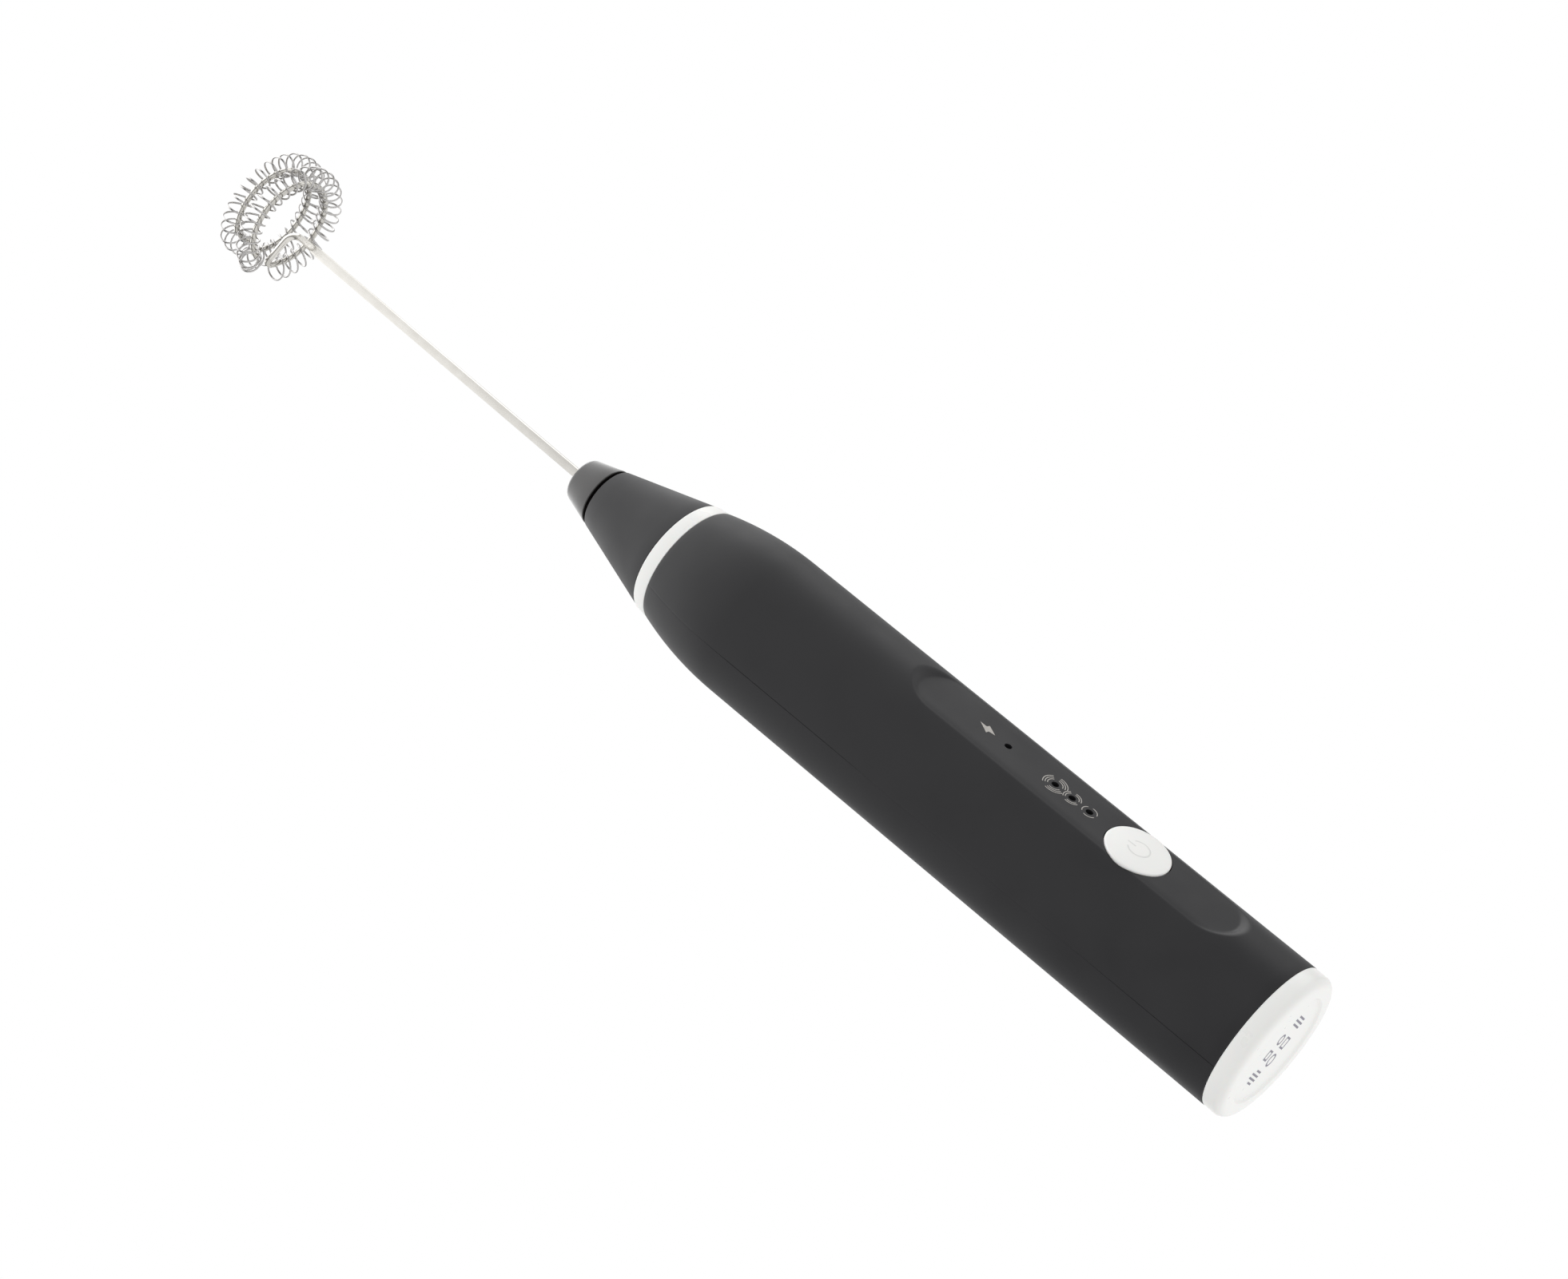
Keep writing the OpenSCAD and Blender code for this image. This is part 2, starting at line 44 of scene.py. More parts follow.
# camera
camera = {
    "place": (-479.316, -346.967, -130.932),   # millimetres
    "right": (0.618364, -0.337291, -0.709831),
    "up": (0.249215, -0.772442, 0.584145),
    "back": (-0.74533, -0.538115, -0.393592),
    "lens": 78.206,                            # on a 36 mm sensor
}
cameraData = bpy.data.cameras.new("camera")
cameraData.lens = camera["lens"]
cameraData.sensor_width = 36
cameraData.clip_start = 0.01
cameraData.clip_end = 20
cameraObject = bpy.data.objects.new("camera", cameraData)
scene.collection.objects.link(cameraObject)
turn = Matrix([camera["right"], camera["up"], camera["back"]]).transposed()
cameraObject.matrix_world = Matrix.Translation(Vector(camera["place"]) * mm) @ turn.to_4x4()
scene.camera = cameraObject


# material helpers
def startFinish(name, colour, roughness, metal=0.0):
    material = bpy.data.materials.new(name)
    material.use_nodes = True
    tree = material.node_tree
    shader = tree.nodes["Principled BSDF"]
    shader.inputs["Base Color"].default_value = (*colour, 1)
    shader.inputs["Roughness"].default_value = roughness
    shader.inputs["Metallic"].default_value = metal
    place = tree.nodes.new("ShaderNodeTexCoord").outputs["Object"]
    return material, tree, shader, place


def stretched(tree, place, scale):
    mapping = tree.nodes.new("ShaderNodeMapping")
    mapping.inputs["Scale"].default_value = scale
    tree.links.new(place, mapping.inputs["Vector"])
    return mapping.outputs["Vector"]


def grain(tree, place, size, detail=3.0, harshness=0.55):
    # size is the width of one patch in millimetres
    noise = tree.nodes.new("ShaderNodeTexNoise")
    noise.inputs["Scale"].default_value = 1 / (size * mm)
    noise.inputs["Detail"].default_value = detail
    noise.inputs["Roughness"].default_value = harshness
    tree.links.new(place, noise.inputs["Vector"])
    return noise.outputs["Fac"]


def spread(tree, value, low, high, fromLow=0.3, fromHigh=0.7):
    node = tree.nodes.new("ShaderNodeMapRange")
    node.inputs["From Min"].default_value = fromLow
    node.inputs["From Max"].default_value = fromHigh
    node.inputs["To Min"].default_value = low
    node.inputs["To Max"].default_value = high
    tree.links.new(value, node.inputs["Value"])
    return node.outputs["Result"]


def mixSockets(node):
    # the colour sockets of a Mix node share their names with its number sockets
    return [s for s in node.inputs if s.type == "RGBA"]


def blendColours(tree, value, first, second):
    node = tree.nodes.new("ShaderNodeMix")
    node.data_type = "RGBA"
    tree.links.new(value, node.inputs[0])
    for socket, colour in zip(mixSockets(node), (first, second)):
        if isinstance(colour, tuple):
            socket.default_value = (*colour, 1)
        else:
            tree.links.new(colour, socket)
    return [s for s in node.outputs if s.type == "RGBA"][0]


def bumps(tree, shader, height, depth, strength=1.0):
    # depth is the height of the bumps in millimetres
    node = tree.nodes.new("ShaderNodeBump")
    node.inputs["Strength"].default_value = strength
    node.inputs["Distance"].default_value = depth * mm
    tree.links.new(height, node.inputs["Height"])
    tree.links.new(node.outputs["Normal"], shader.inputs["Normal"])


def specks(tree, place, spacing, radius, share):
    # 1 inside small round specks, one in a share of the cells
    cells = tree.nodes.new("ShaderNodeTexVoronoi")
    cells.inputs["Scale"].default_value = 1 / (spacing * mm)
    tree.links.new(place, cells.inputs["Vector"])
    dot = spread(tree, cells.outputs["Distance"], 1, 0, radius / spacing * 0.7, radius / spacing)
    pick = spread(tree, cells.outputs["Color"], 0, 1, 1 - share, 1 - share + 0.01)
    both = tree.nodes.new("ShaderNodeMath")
    both.operation = "MULTIPLY"
    tree.links.new(dot, both.inputs[0])
    tree.links.new(pick, both.inputs[1])
    return both.outputs[0]


def plainFinish(name, dark, light, size, roughness, metal=0.0, depth=0.01, stretch=None, specular=0.5):
    # two tones over a patchy grain, with the grain in the gloss and the surface as well
    material, tree, shader, place = startFinish(name, dark, roughness[0], metal)
    if stretch:
        place = stretched(tree, place, stretch)
    patches = grain(tree, place, size)
    tree.links.new(blendColours(tree, patches, dark, light), shader.inputs["Base Color"])
    tree.links.new(spread(tree, patches, *roughness), shader.inputs["Roughness"])
    bumps(tree, shader, patches, depth)
    shader.inputs["Specular IOR Level"].default_value = specular
    return material


# finishes of the outside
softTouch = {
    "dark": (0.0075, 0.0074, 0.0088),
    "light": (0.0110, 0.0108, 0.0124),
    "roughness": (0.44, 0.56),
    "specular": 0.44,
    "grainSize": 0.45,      # millimetres
    "grainDepth": 0.012,
    "speckSpacing": 7.0,
    "speckRadius": 0.09,
}


def softTouchFinish():
    s = softTouch
    material, tree, shader, place = startFinish("softTouchBlack", s["dark"], 0.55)
    clouds = grain(tree, place, 14, 2)
    fine = grain(tree, place, s["grainSize"], 2)
    dust = specks(tree, place, s["speckSpacing"], s["speckRadius"], 0.35)
    base = blendColours(tree, clouds, s["dark"], s["light"])
    tree.links.new(blendColours(tree, dust, base, (0.16, 0.14, 0.12)), shader.inputs["Base Color"])
    tree.links.new(spread(tree, clouds, *s["roughness"]), shader.inputs["Roughness"])
    bumps(tree, shader, fine, s["grainDepth"], 0.6)
    shader.inputs["Specular IOR Level"].default_value = s["specular"]
    return material


whitePlastic = {
    "colour": (0.84, 0.84, 0.82),
    "shade": (0.82, 0.82, 0.80),
    "roughness": (0.27, 0.31),
}


def whiteFinish():
    w = whitePlastic
    material, tree, shader, place = startFinish("glossWhite", w["colour"], 0.28)
    clouds = grain(tree, place, 5, 3)
    tree.links.new(blendColours(tree, clouds, w["shade"], w["colour"]), shader.inputs["Base Color"])
    tree.links.new(spread(tree, clouds, *w["roughness"]), shader.inputs["Roughness"])
    bumps(tree, shader, grain(tree, place, 1.6, 2), 0.004, 0.5)
    shader.inputs["Subsurface Weight"].default_value = 0.05
    shader.inputs["Subsurface Scale"].default_value = 0.001
    return material


def glossBlackFinish():
    material, tree, shader, place = startFinish("glossBlack", (0.012, 0.011, 0.011), 0.14)
    clouds = grain(tree, place, 3, 3)
    tree.links.new(blendColours(tree, clouds, (0.010, 0.009, 0.009), (0.016, 0.014, 0.013)),
                   shader.inputs["Base Color"])
    tree.links.new(spread(tree, clouds, 0.10, 0.22), shader.inputs["Roughness"])
    bumps(tree, shader, grain(tree, place, 1.2, 2), 0.004, 0.4)
    shader.inputs["Coat Weight"].default_value = 0.3
    shader.inputs["Coat Roughness"].default_value = 0.06
    return material


steelTones = {          # darker and lighter patches of each wire
    "rodSteel": ((0.62, 0.60, 0.56), (0.74, 0.725, 0.69)),
    "ringSteel": ((0.40, 0.385, 0.36), (0.72, 0.705, 0.66)),
    "coilSteel": ((0.36, 0.35, 0.345), (0.62, 0.61, 0.60)),
}


def steelFinish(name, stretch, roughness):
    # drawn wire: fine streaks along its length, and faint patches
    dark, light = steelTones[name]
    material, tree, shader, place = startFinish(name, dark, roughness[0], 1.0)
    streaks = grain(tree, stretched(tree, place, stretch), 0.12, 2)
    patches = grain(tree, place, 2.4, 3)
    tree.links.new(blendColours(tree, patches, dark, light), shader.inputs["Base Color"])
    tree.links.new(spread(tree, streaks, *roughness), shader.inputs["Roughness"])
    bumps(tree, shader, streaks, 0.003, 0.5)
    return material


def inkFinish(name, colour, faded):
    material, tree, shader, place = startFinish(name, colour, 0.5)
    wear = grain(tree, place, 0.22, 2)
    tree.links.new(blendColours(tree, wear, faded, colour), shader.inputs["Base Color"])
    tree.links.new(spread(tree, wear, 0.42, 0.6), shader.inputs["Roughness"])
    bumps(tree, shader, wear, 0.003, 0.5)
    return material


matteBlack = softTouchFinish()
glossWhite = whiteFinish()
glossBlack = glossBlackFinish()
rodSteel = steelFinish("rodSteel", (1, 1, 0.02), (0.10, 0.22))
ringSteel = steelFinish("ringSteel", (0.4, 0.4, 1), (0.10, 0.20))
coilSteel = steelFinish("coilSteel", (1, 1, 1), (0.12, 0.24))
panelInk = inkFinish("panelInk", (0.52, 0.50, 0.47), (0.30, 0.28, 0.26))
symbolInk = inkFinish("symbolInk", (0.66, 0.66, 0.65), (0.73, 0.73, 0.71))
baseInk = inkFinish("baseInk", (0.14, 0.13, 0.17), (0.28, 0.27, 0.32))
lensBlack = plainFinish("lensBlack", (0.006, 0.006, 0.007), (0.012, 0.012, 0.013), 0.4, (0.12, 0.22),
                        depth=0.003)
print("outer finishes ready")

# finishes of the inside, by CAD node
frameGrey = plainFinish("frameGrey", (0.22, 0.23, 0.25), (0.30, 0.31, 0.33), 1.2, (0.45, 0.6))
boardGreen = plainFinish("boardGreen", (0.005, 0.09, 0.03), (0.01, 0.16, 0.06), 0.8, (0.3, 0.45))
platedSteel = plainFinish("platedSteel", (0.5, 0.5, 0.5), (0.66, 0.65, 0.63), 0.5, (0.2, 0.38), 1.0, 0.004)
chipBlack = plainFinish("chipBlack", (0.01, 0.01, 0.01), (0.03, 0.03, 0.03), 0.2, (0.5, 0.7), 0, 0.008)
switchGrey = plainFinish("switchGrey", (0.25, 0.25, 0.26), (0.36, 0.36, 0.37), 0.5, (0.4, 0.55))
capacitorTan = plainFinish("capacitorTan", (0.36, 0.22, 0.10), (0.48, 0.32, 0.16), 0.3, (0.4, 0.6))
ledWhite = plainFinish("ledWhite", (0.7, 0.7, 0.62), (0.85, 0.85, 0.78), 0.2, (0.25, 0.4))
cellWrap = plainFinish("cellWrap", (0.02, 0.07, 0.25), (0.03, 0.11, 0.36), 2.5, (0.25, 0.4))
leadRed = plainFinish("leadRed", (0.45, 0.01, 0.01), (0.6, 0.03, 0.02), 0.4, (0.4, 0.55))
nylon = plainFinish("nylon", (0.62, 0.60, 0.52), (0.74, 0.72, 0.64), 0.9, (0.4, 0.55))
brass = plainFinish("brass", (0.58, 0.40, 0.14), (0.74, 0.56, 0.24), 0.5, (0.2, 0.36), 1.0, 0.004)
copper = plainFinish("copper", (0.60, 0.24, 0.12), (0.78, 0.38, 0.22), 0.25, (0.25, 0.4), 1.0, 0.02,
                     stretch=(1, 1, 0.3))
ferrite = plainFinish("ferrite", (0.03, 0.03, 0.035), (0.06, 0.06, 0.07), 0.35, (0.5, 0.75), 0, 0.015)
rubber = plainFinish("rubber", (0.012, 0.012, 0.012), (0.025, 0.025, 0.025), 0.5, (0.6, 0.8), 0, 0.012)

finishOfNode = {
    frameGrey: ["inner_frame"],
    boardGreen: ["circuit_board", "charge_board"],
    platedSteel: ["board_screws", "battery_tabs", "motor_can", "motor_terminals", "charging_socket",
                  "motor_shaft", "drive_spindle", "spindle_clip", "armature_core"],
    chipBlack: ["switch_body", "driver_chip", "socket_tongue"],
    switchGrey: ["switch_plunger"],
    capacitorTan: ["board_capacitors"],
    ledWhite: ["speed_leds", "charge_led"],
    cellWrap: ["battery_cell"],
    leadRed: ["battery_leads", "motor_leads"],
    nylon: ["motor_end_bell"],
    brass: ["front_bushing", "rear_bushing", "nose_bearing", "coupling_sleeve"],
    copper: ["armature_windings", "commutator", "motor_brushes"],
    ferrite: ["motor_magnets"],
    rubber: ["motor_sleeve", "lip_seal"],
    matteBlack: ["front_shell", "rear_shell", "nose_cone"],
    glossWhite: ["base_cap", "white_ring", "button_cap"],
    glossBlack: ["whisk_hub"],
    lensBlack: ["indicator_lenses"],
    rodSteel: ["whisk_shaft"],
    ringSteel: ["whisk_ring_wire"],
    coilSteel: ["lower_coil", "upper_coil"],
}
for finish, names in finishOfNode.items():
    for name in names:
        mesh = nodes[name].data
        mesh.materials.clear()
        mesh.materials.append(finish)
print("finishes given to the CAD nodes")


# mesh helpers
def makePiece(name, points, faces, finish, sharpAngle=35):
    # points in millimetres
    mesh = bpy.data.meshes.new(name)
    mesh.from_pydata([Vector(p) * mm for p in points], [], faces)
    return finishMesh(name, mesh, finish, sharpAngle)


def finishMesh(name, mesh, finish, sharpAngle=35):
    mesh.materials.clear()
    mesh.materials.append(finish)
    work = bmesh.new()
    work.from_mesh(mesh)
    bmesh.ops.remove_doubles(work, verts=work.verts, dist=1e-7)
    bmesh.ops.dissolve_degenerate(work, edges=work.edges, dist=1e-8)
    bmesh.ops.recalc_face_normals(work, faces=work.faces)
    work.to_mesh(mesh)
    work.free()
    mesh.shade_smooth()
    mesh.set_sharp_from_angle(angle=math.radians(sharpAngle))
    piece = bpy.data.objects.new(name, mesh)
    scene.collection.objects.link(piece)
    return piece


def settle(piece, body, slotName, *replaced):
    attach(piece, body)
    if replaced:
        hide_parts(*replaced)
    return piece


def rounded(corners, steps=6):
    # corners are (radius, height, fillet); returns a line of (radius, height)
    line = []
    for i, (r, z, fillet) in enumerate(corners):
        here = Vector((r, z))
        if not fillet:
            line.append(here)
            continue
        before = Vector(corners[i - 1][:2]) - here
        after = Vector(corners[(i + 1) % len(corners)][:2]) - here
        half = before.angle(after) / 2
        reach = fillet / math.tan(half)
        start, end = here + before.normalized() * reach, here + after.normalized() * reach
        centre = here + (before.normalized() + after.normalized()).normalized() * (fillet / math.sin(half))
        a, b = start - centre, end - centre
        swing = a.angle_signed(b)
        for k in range(steps + 1):
            t = -swing * k / steps
            c, s = math.cos(t), math.sin(t)
            line.append(centre + Vector((a.x * c - a.y * s, a.x * s + a.y * c)))
    return line


def divided(line, closed, longest):
    # adds points so that no stretch is longer than this, which keeps the shading even
    out = []
    for i, p in enumerate(line):
        out.append(p)
        if i + 1 == len(line) and not closed:
            break
        q = line[(i + 1) % len(line)]
        count = max(1, math.ceil((q - p).length / longest))
        out += [p.lerp(q, k / count) for k in range(1, count)]
    return out


def lathe(name, corners, finish, steps=144, closed=False, longest=3.0, place=None, sharpAngle=35):
    # turns a section about the axis; place maps (radius, height, angle) to a point
    line = divided(rounded(corners), closed, longest)
    place = place or (lambda r, z, a: (r * math.cos(a), r * math.sin(a), z))
    points, rows = [], []
    for p in line:
        if p.x < 1e-6:
            rows.append([len(points)] * steps)
            points.append(place(0, p.y, 0))
        else:
            rows.append(list(range(len(points), len(points) + steps)))
            points += [place(p.x, p.y, 2 * math.pi * k / steps) for k in range(steps)]
    faces = []
    for i in range(len(rows) if closed else len(rows) - 1):
        a, b = rows[i], rows[(i + 1) % len(rows)]
        for k in range(steps):
            m = (k + 1) % steps
            faces.append(tuple(dict.fromkeys((a[k], a[m], b[m], b[k]))))
    return makePiece(name, points, [f for f in faces if len(f) > 2], finish, sharpAngle)


def bakedMesh(piece, name):
    # the evaluated mesh of a piece, as a plain mesh; the piece is removed
    graph = bpy.context.evaluated_depsgraph_get()
    mesh = bpy.data.meshes.new_from_object(piece.evaluated_get(graph), depsgraph=graph)
    mesh.name = name
    bpy.data.objects.remove(piece)
    return mesh


# grip: two shells that meet on the Y = 0 plane
grip = {
    "radius": 15.5,
    "wall": 1.8,
    "bottom": 4.1,
    "shoulder": 127.4,
    "taperRadius": 70.4,
    "top": 146.8,
    "edge": 0.15,           # rounding of the shells' end edges
    "seamDepth": 0.10,
    "seamHalfWidth": 0.075,
}
panel = {
    "depth": 14.3,          # distance of the flat from the axis
    "halfWidth": 6.03,
    "low": 16.0,
    "high": 94.0,
    "endRun": 1.3,          # length of the end slopes for each unit of depth
    "softness": 0.6,        # rounding where the flat meets the round grip
    "hollow": 0.5,          # rounding at the foot of the end walls
}
holes = {"buttonZ": 40.2, "buttonRadius": 6.68, "lightZ": (51.7, 55.85, 59.95, 71.4), "lightRadius": 0.75}
socket = {"z": 13.83, "width": 9.24, "height": 3.56}


def gripRadius(z):
    g = grip
    r = g["radius"]
    if z > g["shoulder"]:
        r += math.sqrt(g["taperRadius"] ** 2 - (z - g["shoulder"]) ** 2) - g["taperRadius"]
    for end in (g["bottom"], g["top"]):
        near = abs(z - end) / g["edge"]
        if near < 1:
            r -= g["edge"] * (1 - math.sqrt(1 - (1 - near) ** 2))
    return r


def panelRadius(r, angle, z):
    # the smaller of the round grip and the panel's floor, with a soft edge between them
    p = panel
    if abs(angle) > math.radians(34) or not p["low"] - 2 < z < p["high"] + 2:
        return r
    endReach = p["halfWidth"] + (grip["radius"] - p["depth"]) * p["endRun"]
    end = max(0, p["low"] + endReach - z, z - p["high"] + endReach)
    lean = math.cos(angle)
    found = r
    for _ in range(3):
        outside = math.hypot(found * math.sin(angle), end) - p["halfWidth"]
        floor = p["depth"] + 0.5 / p["endRun"] * (outside + math.hypot(outside, p["hollow"] * 0.4))
        cut = floor / lean
        near = max(p["softness"] - abs(r - cut), 0) / p["softness"]
        found = min(r, cut) - near * near * p["softness"] / 4
    return found


def seamShare(z):
    # the parting line is open near the ends and closes along the middle
    low = 1 - min(1, max(0, (z - 20) / 22))
    high = min(1, max(0, (z - 84) / 14)) * (1 - min(1, max(0, (z - 122) / 12)))
    return 0.12 + 0.88 * max(low, high)


def spaced(marks):
    # marks are (from, to, step); one sorted list of values
    values = []
    for start, stop, step in marks:
        count = max(1, round((stop - start) / step))
        values += [start + (stop - start) * k / count for k in range(count)]
    return values + [marks[-1][1]]


def shellMesh(angles, heights, side, cut):
    # side is -1 for the front shell and 1 for the rear one
    points, count = [], len(angles)
    for wall in (0, grip["wall"]):
        for z in heights:
            seamAngle = grip["seamHalfWidth"] * (0.35 + 0.65 * seamShare(z)) / grip["radius"]
            for k, angle in enumerate(angles):
                r = gripRadius(z)
                if cut:
                    r = panelRadius(r, angle, z)
                if k in (0, count - 1):
                    r -= grip["seamDepth"] * seamShare(z)
                elif k in (1, count - 2):
                    angle = math.copysign(math.pi / 2 - seamAngle, angle)
                r -= wall
                points.append((r * math.sin(angle), side * r * math.cos(angle), z))
    rows, faces = len(heights), []
    inner = rows * count
    for i in range(rows - 1):
        for k in range(count - 1):
            a = i * count + k
            quad = (a, a + 1, a + count + 1, a + count)
            faces += [quad, tuple(inner + v for v in reversed(quad))]
    rim = [(i * count, (i + 1) * count) for i in range(rows - 1)]
    rim += [((i + 1) * count - 1, (i + 2) * count - 1) for i in range(rows - 1)]
    rim += [(k, k + 1) for k in range(count - 1)]
    rim += [((rows - 1) * count + k, (rows - 1) * count + k + 1) for k in range(count - 1)]
    faces += [(a, b, b + inner, a + inner) for a, b in rim]
    return points, faces


def prism(first, second):
    # a block between two outlines of the same number of points
    n = len(first)
    sides = [(k, (k + 1) % n, n + (k + 1) % n, n + k) for k in range(n)]
    return first + second, sides + [tuple(range(n)), tuple(range(n, 2 * n))]


def cutterAlongY(outline, y0, y1):
    points, faces = prism([(x, y0, z) for x, z in outline], [(x, y1, z) for x, z in outline])
    return makePiece("cutter", points, faces, matteBlack)


def peg(z, radius, y0, y1, steps=96):
    turns = [2 * math.pi * k / steps for k in range(steps)]
    return cutterAlongY([(radius * math.cos(t), z + radius * math.sin(t)) for t in turns], y0, y1)


def slotPeg(width, height, z, y0, y1, steps=24):
    # a peg with two round ends
    outline, end = [], height / 2
    for side in (1, -1):
        for k in range(steps + 1):
            a = math.pi * k / steps - math.pi / 2
            outline.append((side * (width / 2 - end + end * math.cos(a)), z + side * end * math.sin(a)))
    return cutterAlongY(outline, y0, y1)


def cutAway(piece, cutters, name):
    for i, cutter in enumerate(cutters):
        modifier = piece.modifiers.new("cut%d" % i, "BOOLEAN")
        modifier.operation = "DIFFERENCE"
        modifier.solver = "EXACT"
        modifier.object = cutter
    mesh = bakedMesh(piece, name)
    for cutter in cutters:
        bpy.data.objects.remove(cutter)
    return mesh


def buildFrontShell():
    half = math.pi / 2
    first = 0.075 / grip["radius"]
    outer = [-half, -half + first]
    edges = spaced([(-half + 0.03, -0.52, 0.042), (-0.52, 0.52, 0.0125), (0.52, half - 0.03, 0.042)])
    angles = outer + edges + [half - first, half]
    g, p = grip, panel
    heights = [g["bottom"], g["bottom"] + 0.04, g["bottom"] + 0.09]
    heights += spaced([
        (g["bottom"] + g["edge"], p["low"] - 1.5, 2.0), (p["low"] - 1.5, p["low"] + 8.5, 0.18),
        (p["low"] + 8.5, p["high"] - 8.5, 3.0), (p["high"] - 8.5, p["high"] + 1.5, 0.18),
        (p["high"] + 1.5, g["shoulder"], 3.0), (g["shoulder"], g["top"] - g["edge"], 0.9)])
    heights += [g["top"] - 0.09, g["top"] - 0.04, g["top"]]
    points, faces = shellMesh(angles, heights, -1, True)
    piece = makePiece("frontBlank", points, faces, matteBlack)
    cutters = [peg(holes["buttonZ"], holes["buttonRadius"], -20, -5, 144)]
    cutters += [peg(z, holes["lightRadius"], -20, -5, 40) for z in holes["lightZ"]]
    shell = finishMesh("gripFront", cutAway(piece, cutters, "gripFront"), matteBlack, 32)
    settle(shell, "handle", "matte_black", "front_shell")


def buildRearShell():
    half = math.pi / 2
    first = 0.075 / grip["radius"]
    angles = [-half, -half + first] + spaced([(-half + 0.03, half - 0.03, 0.036)]) + [half - first, half]
    g = grip
    heights = [g["bottom"], g["bottom"] + 0.04, g["bottom"] + 0.09]
    heights += spaced([(g["bottom"] + g["edge"], 20, 1.0), (20, g["shoulder"], 3.0),
                       (g["shoulder"], g["top"] - g["edge"], 0.9)])
    heights += [g["top"] - 0.09, g["top"] - 0.04, g["top"]]
    points, faces = shellMesh(angles, heights, 1, False)
    piece = makePiece("rearBlank", points, faces, matteBlack)
    cutters = [slotPeg(socket["width"], socket["height"], socket["z"], 5, 20)]
    shell = finishMesh("gripRear", cutAway(piece, cutters, "gripRear"), matteBlack, 32)
    settle(shell, "handle", "matte_black", "rear_shell")


buildFrontShell()
buildRearShell()
print("grip shells built")

# end cap, trim ring, nose and collar
capSection = [
    (0, 0.5, 0), (11.25, 0.5, 0.5), (11.75, 0, 0.35), (15.45, 0, 1.7), (15.45, 4.08, 0.12), (13.6, 4.08, 0),
    (13.6, 9.1, 0.3), (12.0, 9.1, 0.2), (12.0, 2.2, 0.4), (0, 2.2, 0),
]
ringSection = [(10.7, 146.82, 0), (12.75, 146.82, 0.14), (12.39, 149.88, 0.14), (10.7, 149.88, 0)]
noseSection = [
    (10.6, 140, 0.2), (10.6, 149.9, 0), (12.3, 149.9, 0.14), (6.65, 169.6, 0.16), (4.3, 169.6, 0.12),
    (4.3, 165.9, 0), (4.1, 165.9, 0), (4.1, 163.4, 0), (3.5, 163.4, 0), (3.5, 155, 0), (5, 155, 0),
    (5, 158.5, 0), (7, 158.5, 0), (9, 151, 0), (9, 140, 0.2),
]
collarSection = [
    (0, 166.5, 0), (3.7, 166.5, 0.2), (3.7, 170.4, 0), (6.42, 170.4, 0.18), (4.44, 177.3, 1.3),
    (2.1, 177.3, 0.25), (1.75, 176.95, 0.15), (1.0, 176.95, 0), (1.0, 173.2, 0), (0, 173.2, 0),
]
settle(lathe("endCap", capSection, glossWhite), "handle", "gloss_white", "base_cap")
settle(lathe("trimRing", ringSection, glossWhite, closed=True), "handle", "gloss_white", "white_ring")
settle(lathe("noseShell", noseSection, matteBlack, closed=True), "handle", "matte_black", "nose_cone")
settle(lathe("whiskCollar", collarSection, glossBlack), "whisk", "gloss_black", "whisk_hub")
print("cap, ring, nose and collar built")

# power button and its symbol
button = {
    "z": 40.2, "radius": 6.5, "face": 14.9, "dome": 0.35, "fillet": 0.3,
    "symbolRadius": 2.15, "symbolLine": 0.3, "symbolProud": 0.012,
}


def domeHeight(r):
    # distance of the button's face from the handle's axis
    sphere = (button["radius"] ** 2 + button["dome"] ** 2) / (2 * button["dome"])
    return button["face"] - sphere + math.sqrt(sphere ** 2 - r * r)


def facingFront(z0):
    # section of a part that is turned about the line x = 0, z = z0
    return lambda r, h, a: (r * math.cos(a), -h, z0 + r * math.sin(a))


def buildButton():
    b = button
    top = [(r, domeHeight(r), 0) for r in (0, 1, 2, 3, 4, 5, 5.8)]
    section = top + [
        (b["radius"], domeHeight(b["radius"]), b["fillet"]), (b["radius"], 12.4, 0), (7.4, 12.4, 0.1),
        (7.4, 11.7, 0.1), (1.6, 11.7, 0), (1.6, 10.72, 0.1), (0, 10.72, 0),
    ]
    piece = lathe("powerButton", section, glossWhite, place=facingFront(b["z"]), longest=1.0)
    settle(piece, "button", "gloss_white", "button_cap")


def symbolPoint(r, a, lift):
    x, z = r * math.cos(a), r * math.sin(a)
    return (x, -domeHeight(r) - lift, button["z"] + z)


def ribbon(rows):
    # a thin strip from rows of four points: bottom left, top left, top right, bottom right
    points = [p for row in rows for p in row]
    faces = []
    for i in range(len(rows) - 1):
        a, b = 4 * i, 4 * i + 4
        faces += [(a + k, a + (k + 1) % 4, b + (k + 1) % 4, b + k) for k in range(4)]
    last = 4 * (len(rows) - 1)
    return points, faces + [(3, 2, 1, 0), (last, last + 1, last + 2, last + 3)]


def buildSymbol():
    b = button
    half, lift = b["symbolLine"] / 2, b["symbolProud"]
    rows = []
    for k in range(61):
        a = math.radians(90 + 34 + (360 - 68) * k / 60)
        inner, outer = b["symbolRadius"] - half, b["symbolRadius"] + half
        rows.append([symbolPoint(inner, a, -0.03), symbolPoint(inner, a, lift),
                     symbolPoint(outer, a, lift), symbolPoint(outer, a, -0.03)])
    points, faces = ribbon(rows)
    bar = []
    for k in range(9):
        z = b["symbolRadius"] * (0.35 + 0.85 * k / 8)
        spots = []
        for x, up in ((-half, -0.03), (-half, lift), (half, lift), (half, -0.03)):
            spots.append((x, -domeHeight(math.hypot(x, z)) - up, b["z"] + z))
        bar.append(spots)
    more, moreFaces = ribbon(bar)
    faces += [tuple(v + len(points) for v in f) for f in moreFaces]
    settle(makePiece("powerSymbol", points + more, faces, symbolInk), "button", "gloss_white")


buildButton()
buildSymbol()
print("button built")

# indicator pins
pin = {"radius": 0.69, "tip": 13.6, "dome": 0.12, "flangeRadius": 1.3, "flange": (12.38, 11.8), "foot": 7.85}


